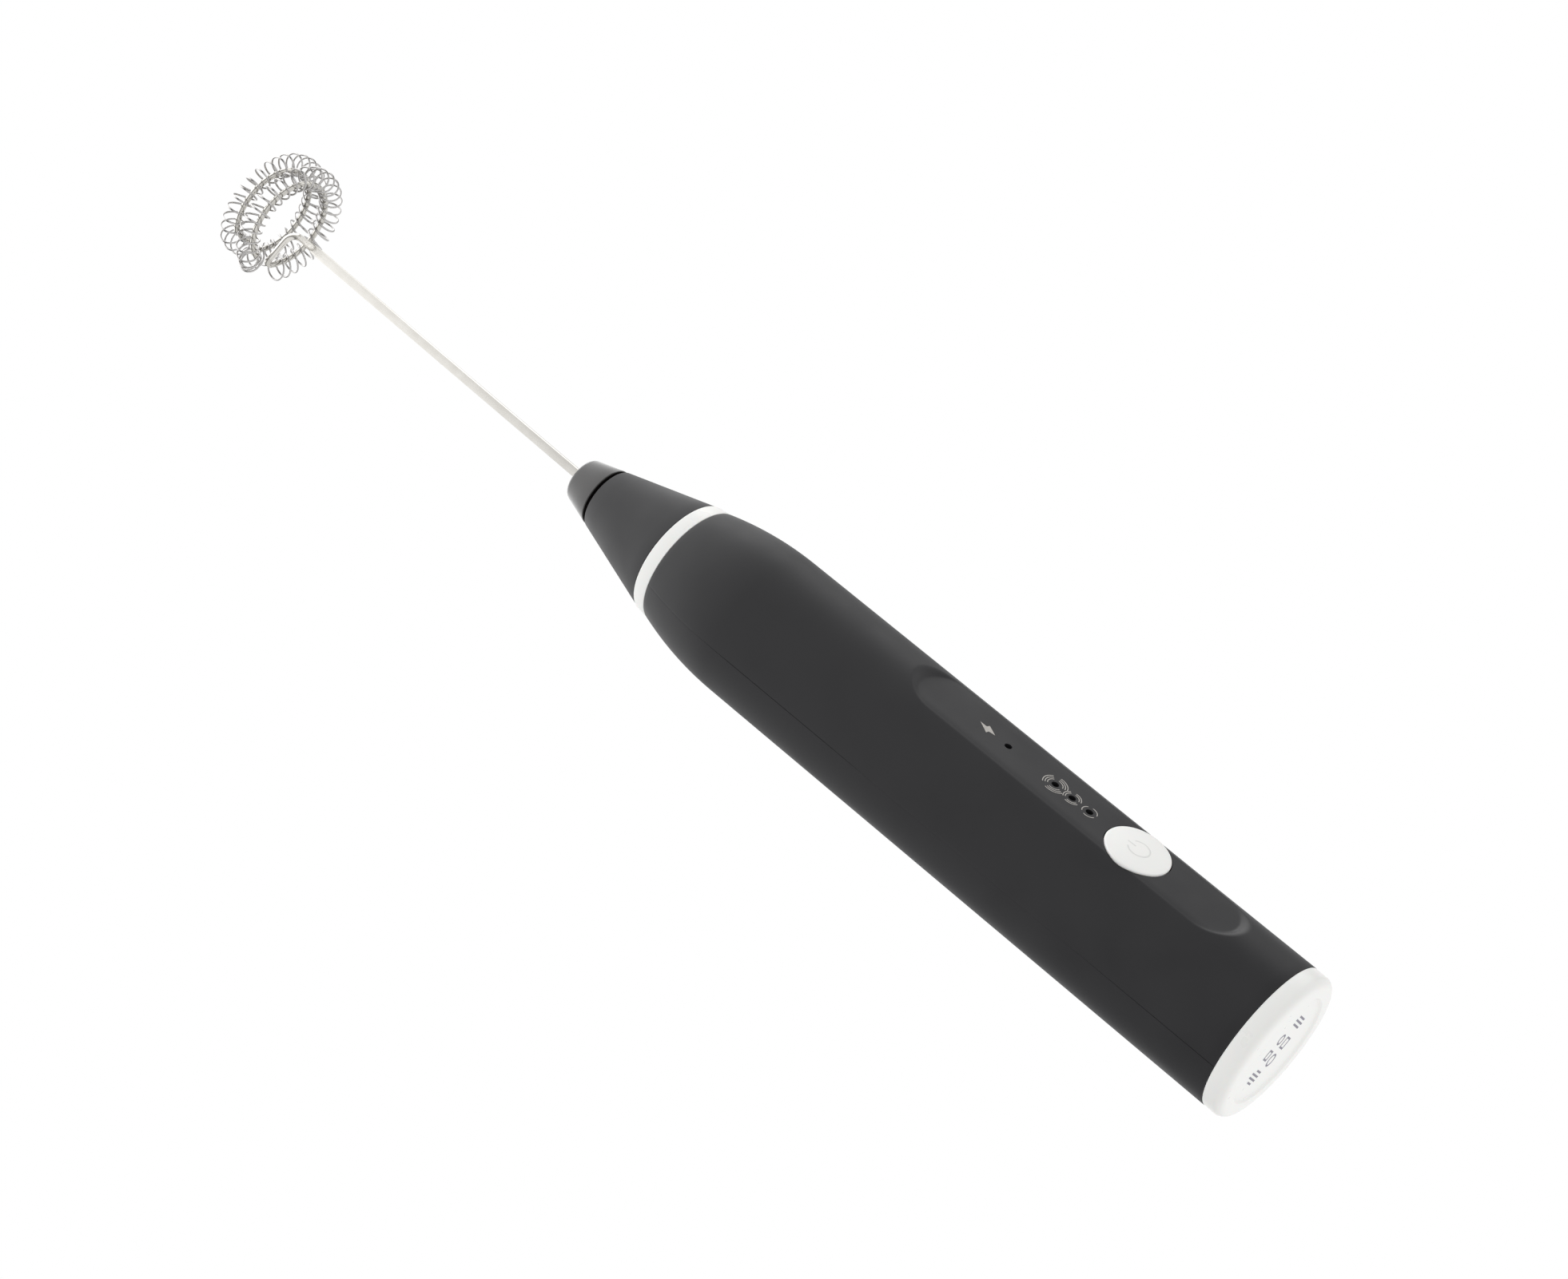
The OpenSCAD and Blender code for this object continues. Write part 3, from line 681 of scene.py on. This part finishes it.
def buildPins():
    work = bmesh.new()
    for i, z in enumerate(holes["lightZ"]):
        section = [
            (0, pin["tip"], 0), (0.35, pin["tip"] - 0.03, 0), (pin["radius"], pin["tip"] - pin["dome"], 0.05),
            (pin["radius"], pin["flange"][0], 0), (pin["flangeRadius"], pin["flange"][0], 0),
            (pin["flangeRadius"], pin["flange"][1], 0), (pin["radius"], pin["flange"][1], 0),
            (pin["radius"], pin["foot"], 0), (0, pin["foot"], 0),
        ]
        part = lathe("pin%d" % i, section, lensBlack, steps=32, place=facingFront(z), longest=2.0)
        work.from_mesh(part.data)
        bpy.data.objects.remove(part)
    mesh = bpy.data.meshes.new("lightPins")
    work.to_mesh(mesh)
    work.free()
    settle(finishMesh("lightPins", mesh, lensBlack), "handle", "clear_lens", "indicator_lenses")


buildPins()
print("indicator pins built")


# node tree helpers
def newTree(name, inputs):
    # inputs are name: (socket type, value)
    tree = bpy.data.node_groups.new(name, "GeometryNodeTree")
    tree.is_modifier = True
    for label, (kind, value) in inputs.items():
        item = tree.interface.new_socket(name=label, in_out="INPUT", socket_type=kind)
        if value is not None:
            item.default_value = value
    tree.interface.new_socket(name="Geometry", in_out="OUTPUT", socket_type="NodeSocketGeometry")
    start = tree.nodes.new("NodeGroupInput")
    end = tree.nodes.new("NodeGroupOutput")
    return tree, start.outputs, end.inputs["Geometry"]


def feed(tree, socket, value):
    if isinstance(value, bpy.types.NodeSocket):
        tree.links.new(value, socket)
    else:
        socket.default_value = value


def calc(tree, operation, *values):
    node = tree.nodes.new("ShaderNodeMath")
    node.operation = operation
    for i, value in enumerate(values):
        feed(tree, node.inputs[i], value)
    return node.outputs[0]


def vectorCalc(tree, operation, *values):
    node = tree.nodes.new("ShaderNodeVectorMath")
    node.operation = operation
    for i, value in enumerate(values):
        if operation == "SCALE" and i == 1:
            feed(tree, node.inputs["Scale"], value)
        else:
            feed(tree, node.inputs[i], value)
    return node.outputs["Value" if operation in ("LENGTH", "DOT_PRODUCT") else "Vector"]


def endTree(tree, geometry, finish, out):
    # every tree ends in real geometry with its material
    realize = tree.nodes.new("GeometryNodeRealizeInstances")
    paint = tree.nodes.new("GeometryNodeSetMaterial")
    paint.inputs["Material"].default_value = finish
    tree.links.new(geometry, realize.inputs["Geometry"])
    tree.links.new(realize.outputs["Geometry"], paint.inputs["Geometry"])
    tree.links.new(paint.outputs["Geometry"], out)


def grow(tree, name, values, finish, move=None, sharpAngle=50):
    # runs a tree on an empty mesh and keeps the result as a plain piece
    holder = bpy.data.objects.new(name + "Holder", bpy.data.meshes.new(name + "Holder"))
    scene.collection.objects.link(holder)
    modifier = holder.modifiers.new("grow", "NODES")
    modifier.node_group = tree
    names = {i.name: i.identifier for i in tree.interface.items_tree if i.in_out == "INPUT"}
    for label, value in values.items():
        modifier[names[label]] = value
    mesh = bakedMesh(holder, name)
    if move:
        mesh.transform(move)
    return finishMesh(name, mesh, finish, sharpAngle)


def pathCurve(name, points, radii):
    # points and radii in millimetres; the radius rides on the curve's own points
    data = bpy.data.curves.new(name, "CURVE")
    data.dimensions = "3D"
    spline = data.splines.new("POLY")
    spline.points.add(len(points) - 1)
    for spot, p, r in zip(spline.points, points, radii):
        spot.co = (*(Vector(p) * mm), 1)
        spot.radius = r * mm
    piece = bpy.data.objects.new(name, data)
    scene.collection.objects.link(piece)
    return piece


def buildWireTree(finish):
    # a round wire along a path, as thick as the path says
    tree, given, out = newTree("wireAlongPath", {
        "Path": ("NodeSocketObject", None),
        "Sides": ("NodeSocketInt", 16),
    })
    info = tree.nodes.new("GeometryNodeObjectInfo")
    info.transform_space = "ORIGINAL"
    circle = tree.nodes.new("GeometryNodeCurvePrimitiveCircle")
    circle.inputs["Radius"].default_value = 1
    sweep = tree.nodes.new("GeometryNodeCurveToMesh")
    sweep.inputs["Fill Caps"].default_value = True
    tree.links.new(given["Path"], info.inputs["Object"])
    tree.links.new(given["Sides"], circle.inputs["Resolution"])
    tree.links.new(info.outputs["Geometry"], sweep.inputs["Curve"])
    tree.links.new(circle.outputs["Curve"], sweep.inputs["Profile Curve"])
    if "Scale" in sweep.inputs:
        radius = tree.nodes.new("GeometryNodeInputRadius")
        tree.links.new(radius.outputs[0], sweep.inputs["Scale"])
    endTree(tree, sweep.outputs["Mesh"], finish, out)
    return tree


def buildCoilTree(finish):
    # a fine coil whose turns stand round a path
    tree, given, out = newTree("coilAlongPath", {
        "Path": ("NodeSocketObject", None),
        "Turns": ("NodeSocketFloat", 20.0),
        "Turn radius": ("NodeSocketFloat", 0.0023),
        "Wire radius": ("NodeSocketFloat", 0.0002),
        "Skew": ("NodeSocketFloat", 0.2),
        "Unevenness": ("NodeSocketFloat", 0.3),
        "Steps per turn": ("NodeSocketInt", 26),
        "Start turn": ("NodeSocketFloat", 0.0),
        "Seed": ("NodeSocketFloat", 3.0),
    })
    info = tree.nodes.new("GeometryNodeObjectInfo")
    info.transform_space = "ORIGINAL"
    tree.links.new(given["Path"], info.inputs["Object"])
    count = calc(tree, "MULTIPLY", given["Turns"], given["Steps per turn"])
    line = tree.nodes.new("GeometryNodeCurvePrimitiveLine")
    resample = tree.nodes.new("GeometryNodeResampleCurve")
    tree.links.new(line.outputs["Curve"], resample.inputs["Curve"])
    tree.links.new(count, resample.inputs["Count"])
    share = tree.nodes.new("GeometryNodeSplineParameter").outputs["Factor"]
    turnsDone = calc(tree, "MULTIPLY", share, given["Turns"])
    noise = tree.nodes.new("ShaderNodeTexNoise")   # a few turns crowd together, others stand apart
    noise.noise_dimensions = "1D"
    noise.inputs["Scale"].default_value = 0.45
    noise.inputs["Detail"].default_value = 1
    tree.links.new(calc(tree, "ADD", turnsDone, given["Seed"]), noise.inputs["W"])
    drift = calc(tree, "MULTIPLY", calc(tree, "SUBTRACT", noise.outputs["Fac"], 0.5), given["Unevenness"])
    along = calc(tree, "ADD", share, calc(tree, "DIVIDE", drift, given["Turns"]))
    sample = tree.nodes.new("GeometryNodeSampleCurve")
    sample.mode = "FACTOR"
    tree.links.new(info.outputs["Geometry"], sample.inputs["Curves"])
    tree.links.new(along, sample.inputs["Factor"])
    up = (0.0, 0.0, 1.0)
    tangent = sample.outputs["Tangent"]
    across = vectorCalc(tree, "NORMALIZE", vectorCalc(tree, "CROSS_PRODUCT", tangent, up))
    angle = calc(tree, "MULTIPLY", calc(tree, "ADD", turnsDone, given["Start turn"]), 2 * math.pi)
    size = calc(tree, "MULTIPLY", given["Turn radius"],
                calc(tree, "ADD", 1.0, calc(tree, "MULTIPLY", drift, 0.12)))
    cosPart = calc(tree, "MULTIPLY", calc(tree, "COSINE", angle), size)
    sinPart = calc(tree, "MULTIPLY", calc(tree, "SINE", angle), size)
    leanUp = vectorCalc(tree, "ADD", vectorCalc(tree, "SCALE", up, calc(tree, "COSINE", given["Skew"])),
                        vectorCalc(tree, "SCALE", tangent, calc(tree, "SINE", given["Skew"])))
    place = vectorCalc(tree, "ADD", sample.outputs["Position"], vectorCalc(
        tree, "ADD", vectorCalc(tree, "SCALE", across, cosPart), vectorCalc(tree, "SCALE", leanUp, sinPart)))
    move = tree.nodes.new("GeometryNodeSetPosition")
    tree.links.new(resample.outputs["Curve"], move.inputs["Geometry"])
    tree.links.new(place, move.inputs["Position"])
    circle = tree.nodes.new("GeometryNodeCurvePrimitiveCircle")
    circle.inputs["Resolution"].default_value = 8
    tree.links.new(given["Wire radius"], circle.inputs["Radius"])
    sweep = tree.nodes.new("GeometryNodeCurveToMesh")
    sweep.inputs["Fill Caps"].default_value = True
    tree.links.new(move.outputs["Geometry"], sweep.inputs["Curve"])
    tree.links.new(circle.outputs["Curve"], sweep.inputs["Profile Curve"])
    endTree(tree, sweep.outputs["Mesh"], finish, out)
    return tree


# whisk
whisk = {
    "turn": math.radians(-54),      # the arm points along -X before this turn
    "centre": (2.1, -1.4),
    "ringRadius": 9.6,
    "ringZ": 266.0,
    "rise": 5.1,
    "rodRadius": 1.0,
    "armRadius": 0.7,
    "wireRadius": 0.6,
    "armZ": 265.2,
    "armEnd": -6.0,
    "bend": 2.6,
    "corner": 1.2,
    "taper": (257.0, 261.5),
    "foot": 173.0,
    "lean": math.radians(0.84),     # of the shaft, away from the arm
    "shaftRun": 92.1,               # along the leaning shaft, up to the arm
    "armRun": 7.35,
    "turnRadius": 2.3,
    "coilWireRadius": 0.2,
    "coilGap": 0.06,
    "turnsPerRing": 33,
    "skew": math.radians(12),
    "dip": (160, 20, 0.5),          # first angle, reach in degrees and height of the dip after the arm
    "climb": (-165, 40),            # where the wire climbs to the upper ring
    "tuck": (-500, 50, 2.2),        # where its free end turns inwards, and how far
    "wireAngles": (160, -550),
    "lowerCoil": (150, -184),
    "upperCoil": (-186, -536),
    "angleStep": 3,
}


def ease(t):
    t = min(1, max(0, t))
    return t * t * (3 - 2 * t)


def turned(x, y, z):
    c, s = math.cos(whisk["turn"]), math.sin(whisk["turn"])
    return (x * c - y * s, x * s + y * c, z)


def leaned(x, along):
    w = whisk
    c, s = math.cos(w["lean"]), math.sin(w["lean"])
    return turned(x * c + along * s, 0, w["foot"] + along * c - x * s)


def wireHeight(a):
    w = whisk
    dipStart, dipReach, dip = w["dip"]
    climbStart, climbReach = w["climb"]
    climbed = w["rise"] * ease((climbStart - a) / climbReach)
    return w["ringZ"] - dip * (1 - ease((dipStart - a) / dipReach)) + climbed


def tuck(a):
    # how far the wire's free end has turned inwards
    start, reach, depth = whisk["tuck"]
    return depth * ease((start - a) / reach)


def ringSpot(a, r, z):
    w = whisk
    t = math.radians(a)
    return turned(w["centre"][0] + r * math.cos(t), w["centre"][1] + r * math.sin(t), z)


def buildRod(tree):
    w = whisk
    points, radii = [], []
    taperStart, taperEnd = (z - w["foot"] for z in w["taper"])
    for k in range(30):
        points.append(leaned(0, 0.2 + (taperStart - 0.2) * k / 29))
        radii.append(w["rodRadius"])
    for k in range(1, 7):
        points.append(leaned(0, taperStart + (taperEnd - taperStart) * k / 6))
        radii.append(w["rodRadius"] + (w["armRadius"] - w["rodRadius"]) * ease(k / 6))
    for k in range(15):
        a = math.radians(6 * k + 3)
        points.append(leaned(-w["bend"] * (1 - math.cos(a)), w["shaftRun"] - w["bend"] * (1 - math.sin(a))))
        radii.append(w["armRadius"])
    for k in range(1, 7):
        points.append(leaned(-w["bend"] - (w["armRun"] - w["bend"]) * k / 6, w["shaftRun"]))
        radii.append(w["armRadius"] - 0.04 * k / 6)
    path = pathCurve("rodPath", points, radii)
    rod = grow(tree, "whiskRod", {"Path": path, "Sides": 32}, rodSteel)
    bpy.data.objects.remove(path)
    settle(rod, "whisk", "whisk_steel", "whisk_shaft")


def buildRingWire(tree):
    w = whisk
    points = []
    for k in range(-2, 9):
        a = math.radians(60 * k / 8)
        if k < 0:
            points.append(turned(w["armEnd"] - 0.25 * k, 0, w["armZ"]))
        else:
            points.append(turned(w["armEnd"] - w["corner"] * math.sin(a), w["corner"] * (1 - math.cos(a)),
                                 w["armZ"] + 0.2 * k / 8))
    a, end = w["wireAngles"]
    while a >= end:
        points.append(ringSpot(a, w["ringRadius"] - tuck(a), wireHeight(a)))
        a -= w["angleStep"]
    radii = [w["wireRadius"]] * len(points)
    for k in range(16):
        radii[k] += 0.06 * (1 - ease(k / 15))
    path = pathCurve("ringPath", points, radii)
    wire = grow(tree, "ringWire", {"Path": path, "Sides": 20}, ringSteel)
    bpy.data.objects.remove(path)
    settle(wire, "whisk", "whisk_steel", "whisk_ring_wire")


def buildCoil(tree, name, start, stop, replaced, seed):
    w = whisk
    radius = w["ringRadius"] + w["turnRadius"] - w["coilWireRadius"] - w["wireRadius"] - w["coilGap"]
    points, a = [], start
    while a > stop:
        points.append(ringSpot(a, radius - tuck(a), wireHeight(a)))
        a -= w["angleStep"]
    points.append(ringSpot(stop, radius - tuck(stop), wireHeight(stop)))
    path = pathCurve(name + "Path", points, [1] * len(points))
    values = {
        "Path": path, "Turns": (start - stop) / 360 * w["turnsPerRing"], "Turn radius": w["turnRadius"] * mm,
        "Wire radius": w["coilWireRadius"] * mm, "Skew": w["skew"], "Seed": seed,
    }
    coil = grow(tree, name, values, coilSteel)
    bpy.data.objects.remove(path)
    settle(coil, "whisk", "whisk_steel", replaced)


wireTree = buildWireTree(ringSteel)
coilTree = buildCoilTree(coilSteel)
buildRod(wireTree)
buildRingWire(wireTree)
buildCoil(coilTree, "coilLower", *whisk["lowerCoil"], "lower_coil", 3.0)
buildCoil(coilTree, "coilUpper", *whisk["upperCoil"], "upper_coil", 11.0)
print("whisk built")

# printed marks on the panel
panelPrint = {"thickness": 0.02, "line": 0.16, "sweep": 85, "middle": 87}
speedMarks = {          # height of each light: radii of its rings
    59.95: (1.5, 1.98, 2.46),
    55.85: (1.35, 1.8),
    51.7: (1.5,),
}


def buildMarkTree(finish):
    # rings of three arcs each, drawn with a flat line
    tree, given, out = newTree("arcRings", {
        "First radius": ("NodeSocketFloat", 0.0015),
        "Spacing": ("NodeSocketFloat", 0.00048),
        "Rings": ("NodeSocketInt", 1),
        "Line": ("NodeSocketFloat", 0.0002),
        "Thickness": ("NodeSocketFloat", 0.00002),
        "Sweep": ("NodeSocketFloat", 1.5),
        "Middle": ("NodeSocketFloat", 1.5),
    })
    arc = tree.nodes.new("GeometryNodeCurveArc")
    arc.inputs["Resolution"].default_value = 20
    arc.inputs["Radius"].default_value = 1
    tree.links.new(given["Sweep"], arc.inputs["Sweep Angle"])
    tree.links.new(calc(tree, "SUBTRACT", given["Middle"], calc(tree, "MULTIPLY", given["Sweep"], 0.5)),
                   arc.inputs["Start Angle"])
    spots = tree.nodes.new("GeometryNodePoints")
    tree.links.new(calc(tree, "MULTIPLY", given["Rings"], 3), spots.inputs["Count"])
    index = tree.nodes.new("GeometryNodeInputIndex").outputs[0]
    ring = calc(tree, "FLOOR", calc(tree, "DIVIDE", index, 3))
    third = calc(tree, "MULTIPLY", calc(tree, "MODULO", index, 3), 2 * math.pi / 3)
    radius = calc(tree, "ADD", given["First radius"], calc(tree, "MULTIPLY", ring, given["Spacing"]))
    spin = tree.nodes.new("ShaderNodeCombineXYZ")
    tree.links.new(third, spin.inputs["Z"])
    grown = tree.nodes.new("ShaderNodeCombineXYZ")
    for axis in "XYZ":
        tree.links.new(radius, grown.inputs[axis])
    place = tree.nodes.new("GeometryNodeInstanceOnPoints")
    tree.links.new(spots.outputs[0], place.inputs["Points"])
    tree.links.new(arc.outputs["Curve"], place.inputs["Instance"])
    tree.links.new(spin.outputs[0], place.inputs["Rotation"])
    tree.links.new(grown.outputs[0], place.inputs["Scale"])
    real = tree.nodes.new("GeometryNodeRealizeInstances")
    tree.links.new(place.outputs["Instances"], real.inputs["Geometry"])
    profile = tree.nodes.new("GeometryNodeCurvePrimitiveQuadrilateral")
    tree.links.new(given["Line"], profile.inputs["Width"])
    tree.links.new(given["Thickness"], profile.inputs["Height"])
    sweep = tree.nodes.new("GeometryNodeCurveToMesh")
    sweep.inputs["Fill Caps"].default_value = True
    tree.links.new(real.outputs["Geometry"], sweep.inputs["Curve"])
    tree.links.new(profile.outputs["Curve"], sweep.inputs["Profile Curve"])
    endTree(tree, sweep.outputs["Mesh"], finish, out)
    return tree


def buildSpeedMarks():
    tree = buildMarkTree(panelInk)
    for i, (z, radii) in enumerate(speedMarks.items()):
        values = {
            "First radius": radii[0] * mm, "Rings": len(radii), "Line": panelPrint["line"] * mm,
            "Spacing": (radii[1] - radii[0] if len(radii) > 1 else 0.4) * mm,
            "Thickness": 2 * panelPrint["thickness"] * mm,
            "Sweep": math.radians(panelPrint["sweep"]), "Middle": math.radians(panelPrint["middle"]),
        }
        spot = Vector((0, -panel["depth"], z)) * mm
        standUp = Matrix.Translation(spot) @ Matrix.Rotation(math.pi / 2, 4, "X")
        marks = grow(tree, "speedMarks%d" % (i + 1), values, panelInk, standUp)
        settle(marks, "handle", "matte_black")


def buildBolt():
    outline = [
        (0.57, 78.7), (-0.57, 76.81), (-1.01, 76.12), (-0.27, 76.03), (0.04, 74.68), (1.3, 76.97),
        (0.58, 77.19),
    ]
    front, back = -panel["depth"] - panelPrint["thickness"], -panel["depth"] + 0.02
    points, faces = prism([(x, front, z) for x, z in outline], [(x, back, z) for x, z in outline])
    settle(makePiece("chargeBolt", points, faces, panelInk), "handle", "matte_black")


buildSpeedMarks()
buildBolt()
print("panel marks built")

# plain marks on the end face: three groups in a row
baseMarks = {
    "face": 0.5,            # height of the recess floor
    "proud": 0.02,
    "turn": math.radians(-54),
    "line": 0.42,
    # x, y and length of each bar; the bars lie across the row
    "bars": [(-7.6, 0.3, 2.6), (-6.7, 0, 4.6), (-5.8, 0, 4.6), (-4.9, 0.5, 3.0), (5.4, 0, 4.4), (6.3, 0, 5.0),
             (7.2, 0, 3.8)],
    "rings": [(-2.0, 2.0, 1.25), (1.9, -1.9, 1.0)],     # x, y and radius
    "squares": [(-1.7, -1.9, 1.9), (1.9, 1.9, 2.2)],    # x, y and side
}


def buildBaseMarks():
    m = baseMarks
    half, top, low = m["line"] / 2, m["face"] + 0.02, m["face"] - m["proud"]
    c, s = math.cos(m["turn"]), math.sin(m["turn"])
    points, faces = [], []

    def addBlock(outline):
        first = len(points)
        spots = [(x * c - y * s, x * s + y * c) for x, y in outline]
        more, moreFaces = prism([(x, y, low) for x, y in spots], [(x, y, top) for x, y in spots])
        points.extend(more)
        faces.extend(tuple(first + k for k in face) for face in moreFaces)

    def addBar(x, y, width, height):
        w, h = width / 2, height / 2
        addBlock([(x - w, y - h), (x + w, y - h), (x + w, y + h), (x - w, y + h)])

    for x, y, length in m["bars"]:
        addBar(x, y, m["line"], length)
    for x, y, r in m["rings"]:
        for k in range(36):
            a, b = math.pi * k / 18, math.pi * (k + 1) / 18
            addBlock([(x + q * math.cos(t), y + q * math.sin(t))
                      for q, t in ((r - half, a), (r + half, a), (r + half, b), (r - half, b))])
    for x, y, side in m["squares"]:
        for shift in (-side / 2, side / 2):
            addBar(x, y + shift, side + m["line"], m["line"])
            addBar(x + shift, y, m["line"], side - m["line"])
    settle(makePiece("baseMarks", points, faces, baseInk), "handle", "gloss_white")


buildBaseMarks()
print("base marks built")

# floor, world and lights
studio = {
    "floorHalf": 3.0, "floor": (0.80, 0.80, 0.79), "surround": 2.4,
    # brightness by height, from straight down to straight up, and by direction, from behind to in front
    "tent": [(-1, 1.05), (-0.15, 1.0), (0.0, 0.5), (0.12, 0.18), (0.30, 0.26), (0.39, 0.38), (0.46, 0.95),
             (0.56, 1.35), (0.82, 2.2), (1, 2.2)],
    "behind": [(-1, 1.05), (-0.90, 0.95), (-0.70, 0.2), (1, 0.1)],
}


def buildFloor():
    h = studio["floorHalf"] / mm
    floor = makePiece("floor", [(-h, -h, 0), (h, -h, 0), (h, h, 0), (-h, h, 0)], [(0, 1, 2, 3)], glossWhite)
    floor.location.z = -0.0001
    material, tree, shader, place = startFinish("paleFloor", studio["floor"], 0.7)
    tree.links.new(blendColours(tree, grain(tree, place, 60), studio["floor"], (0.84, 0.84, 0.83)),
                   shader.inputs["Base Color"])
    clear = tree.nodes.new("ShaderNodeBsdfTransparent")     # seen from below there is no floor in the way
    side = tree.nodes.new("ShaderNodeNewGeometry")
    choose = tree.nodes.new("ShaderNodeMixShader")
    tree.links.new(side.outputs["Backfacing"], choose.inputs["Fac"])
    tree.links.new(shader.outputs[0], choose.inputs[1])
    tree.links.new(clear.outputs[0], choose.inputs[2])
    tree.links.new(choose.outputs[0], tree.nodes["Material Output"].inputs["Surface"])
    floor.data.materials[0] = material
    for ray in ("diffuse", "glossy", "shadow", "transmission"):
        setattr(floor, "visible_" + ray, False)


def levelRamp(tree, value, stops):
    # stops are (value from -1 to 1, brightness)
    half = tree.nodes.new("ShaderNodeMapRange")
    half.inputs["From Min"].default_value = -1
    tree.links.new(value, half.inputs["Value"])
    ramp = tree.nodes.new("ShaderNodeValToRGB")
    elements = ramp.color_ramp.elements
    for i, (spot, level) in enumerate(stops):
        place = (spot + 1) / 2
        element = elements[i] if i < 2 else elements.new(place)
        element.position = place
        share = level / studio["surround"]
        element.color = (share, share, share, 1)
    tree.links.new(half.outputs["Result"], ramp.inputs["Fac"])
    return ramp.outputs["Color"]


def buildWorld():
    # a white tent with a dim band at mid height, and plain white where the camera sees it
    world = bpy.data.worlds.new("studio")
    scene.world = world
    world.use_nodes = True
    tree = world.node_tree
    back = tree.nodes["Background"]
    way = tree.nodes.new("ShaderNodeTexCoord").outputs["Generated"]
    toCamera = Vector(camera["back"])
    toCamera.z = 0
    toCamera.normalize()
    facing = tree.nodes.new("ShaderNodeVectorMath")
    facing.operation = "DOT_PRODUCT"
    facing.inputs[1].default_value = toCamera
    tree.links.new(way, facing.inputs[0])
    height = tree.nodes.new("ShaderNodeSeparateXYZ")
    tree.links.new(way, height.inputs[0])
    behind = levelRamp(tree, facing.outputs["Value"], studio["behind"])
    tent = levelRamp(tree, height.outputs["Z"], studio["tent"])
    brighter = tree.nodes.new("ShaderNodeMath")
    brighter.operation = "MAXIMUM"
    tree.links.new(behind, brighter.inputs[0])
    tree.links.new(tent, brighter.inputs[1])
    tree.links.new(brighter.outputs[0], back.inputs["Color"])
    back.inputs["Strength"].default_value = studio["surround"]
    plain = tree.nodes.new("ShaderNodeBackground")
    plain.inputs["Color"].default_value = (1, 1, 1, 1)
    rays = tree.nodes.new("ShaderNodeLightPath")
    choose = tree.nodes.new("ShaderNodeMixShader")
    tree.links.new(rays.outputs["Is Camera Ray"], choose.inputs["Fac"])
    tree.links.new(back.outputs[0], choose.inputs[1])
    tree.links.new(plain.outputs[0], choose.inputs[2])
    tree.links.new(choose.outputs[0], tree.nodes["World Output"].inputs["Surface"])


def softBox(name, place, aim, size, power):
    data = bpy.data.lights.new(name, "AREA")
    data.shape = "RECTANGLE"
    data.size, data.size_y = size
    data.energy = power
    light = bpy.data.objects.new(name, data)
    scene.collection.objects.link(light)
    light.location = place
    light.rotation_mode = "QUATERNION"
    light.rotation_quaternion = (Vector(aim) - Vector(place)).to_track_quat("-Z", "Y")
    light.visible_camera = False


buildFloor()
buildWorld()
softBox("sideLight", (0.45, -0.34, 0.29), (0, 0, 0.10), (0.3, 0.5), 0.42)
scene.view_settings.view_transform = "Standard"
print("studio ready")
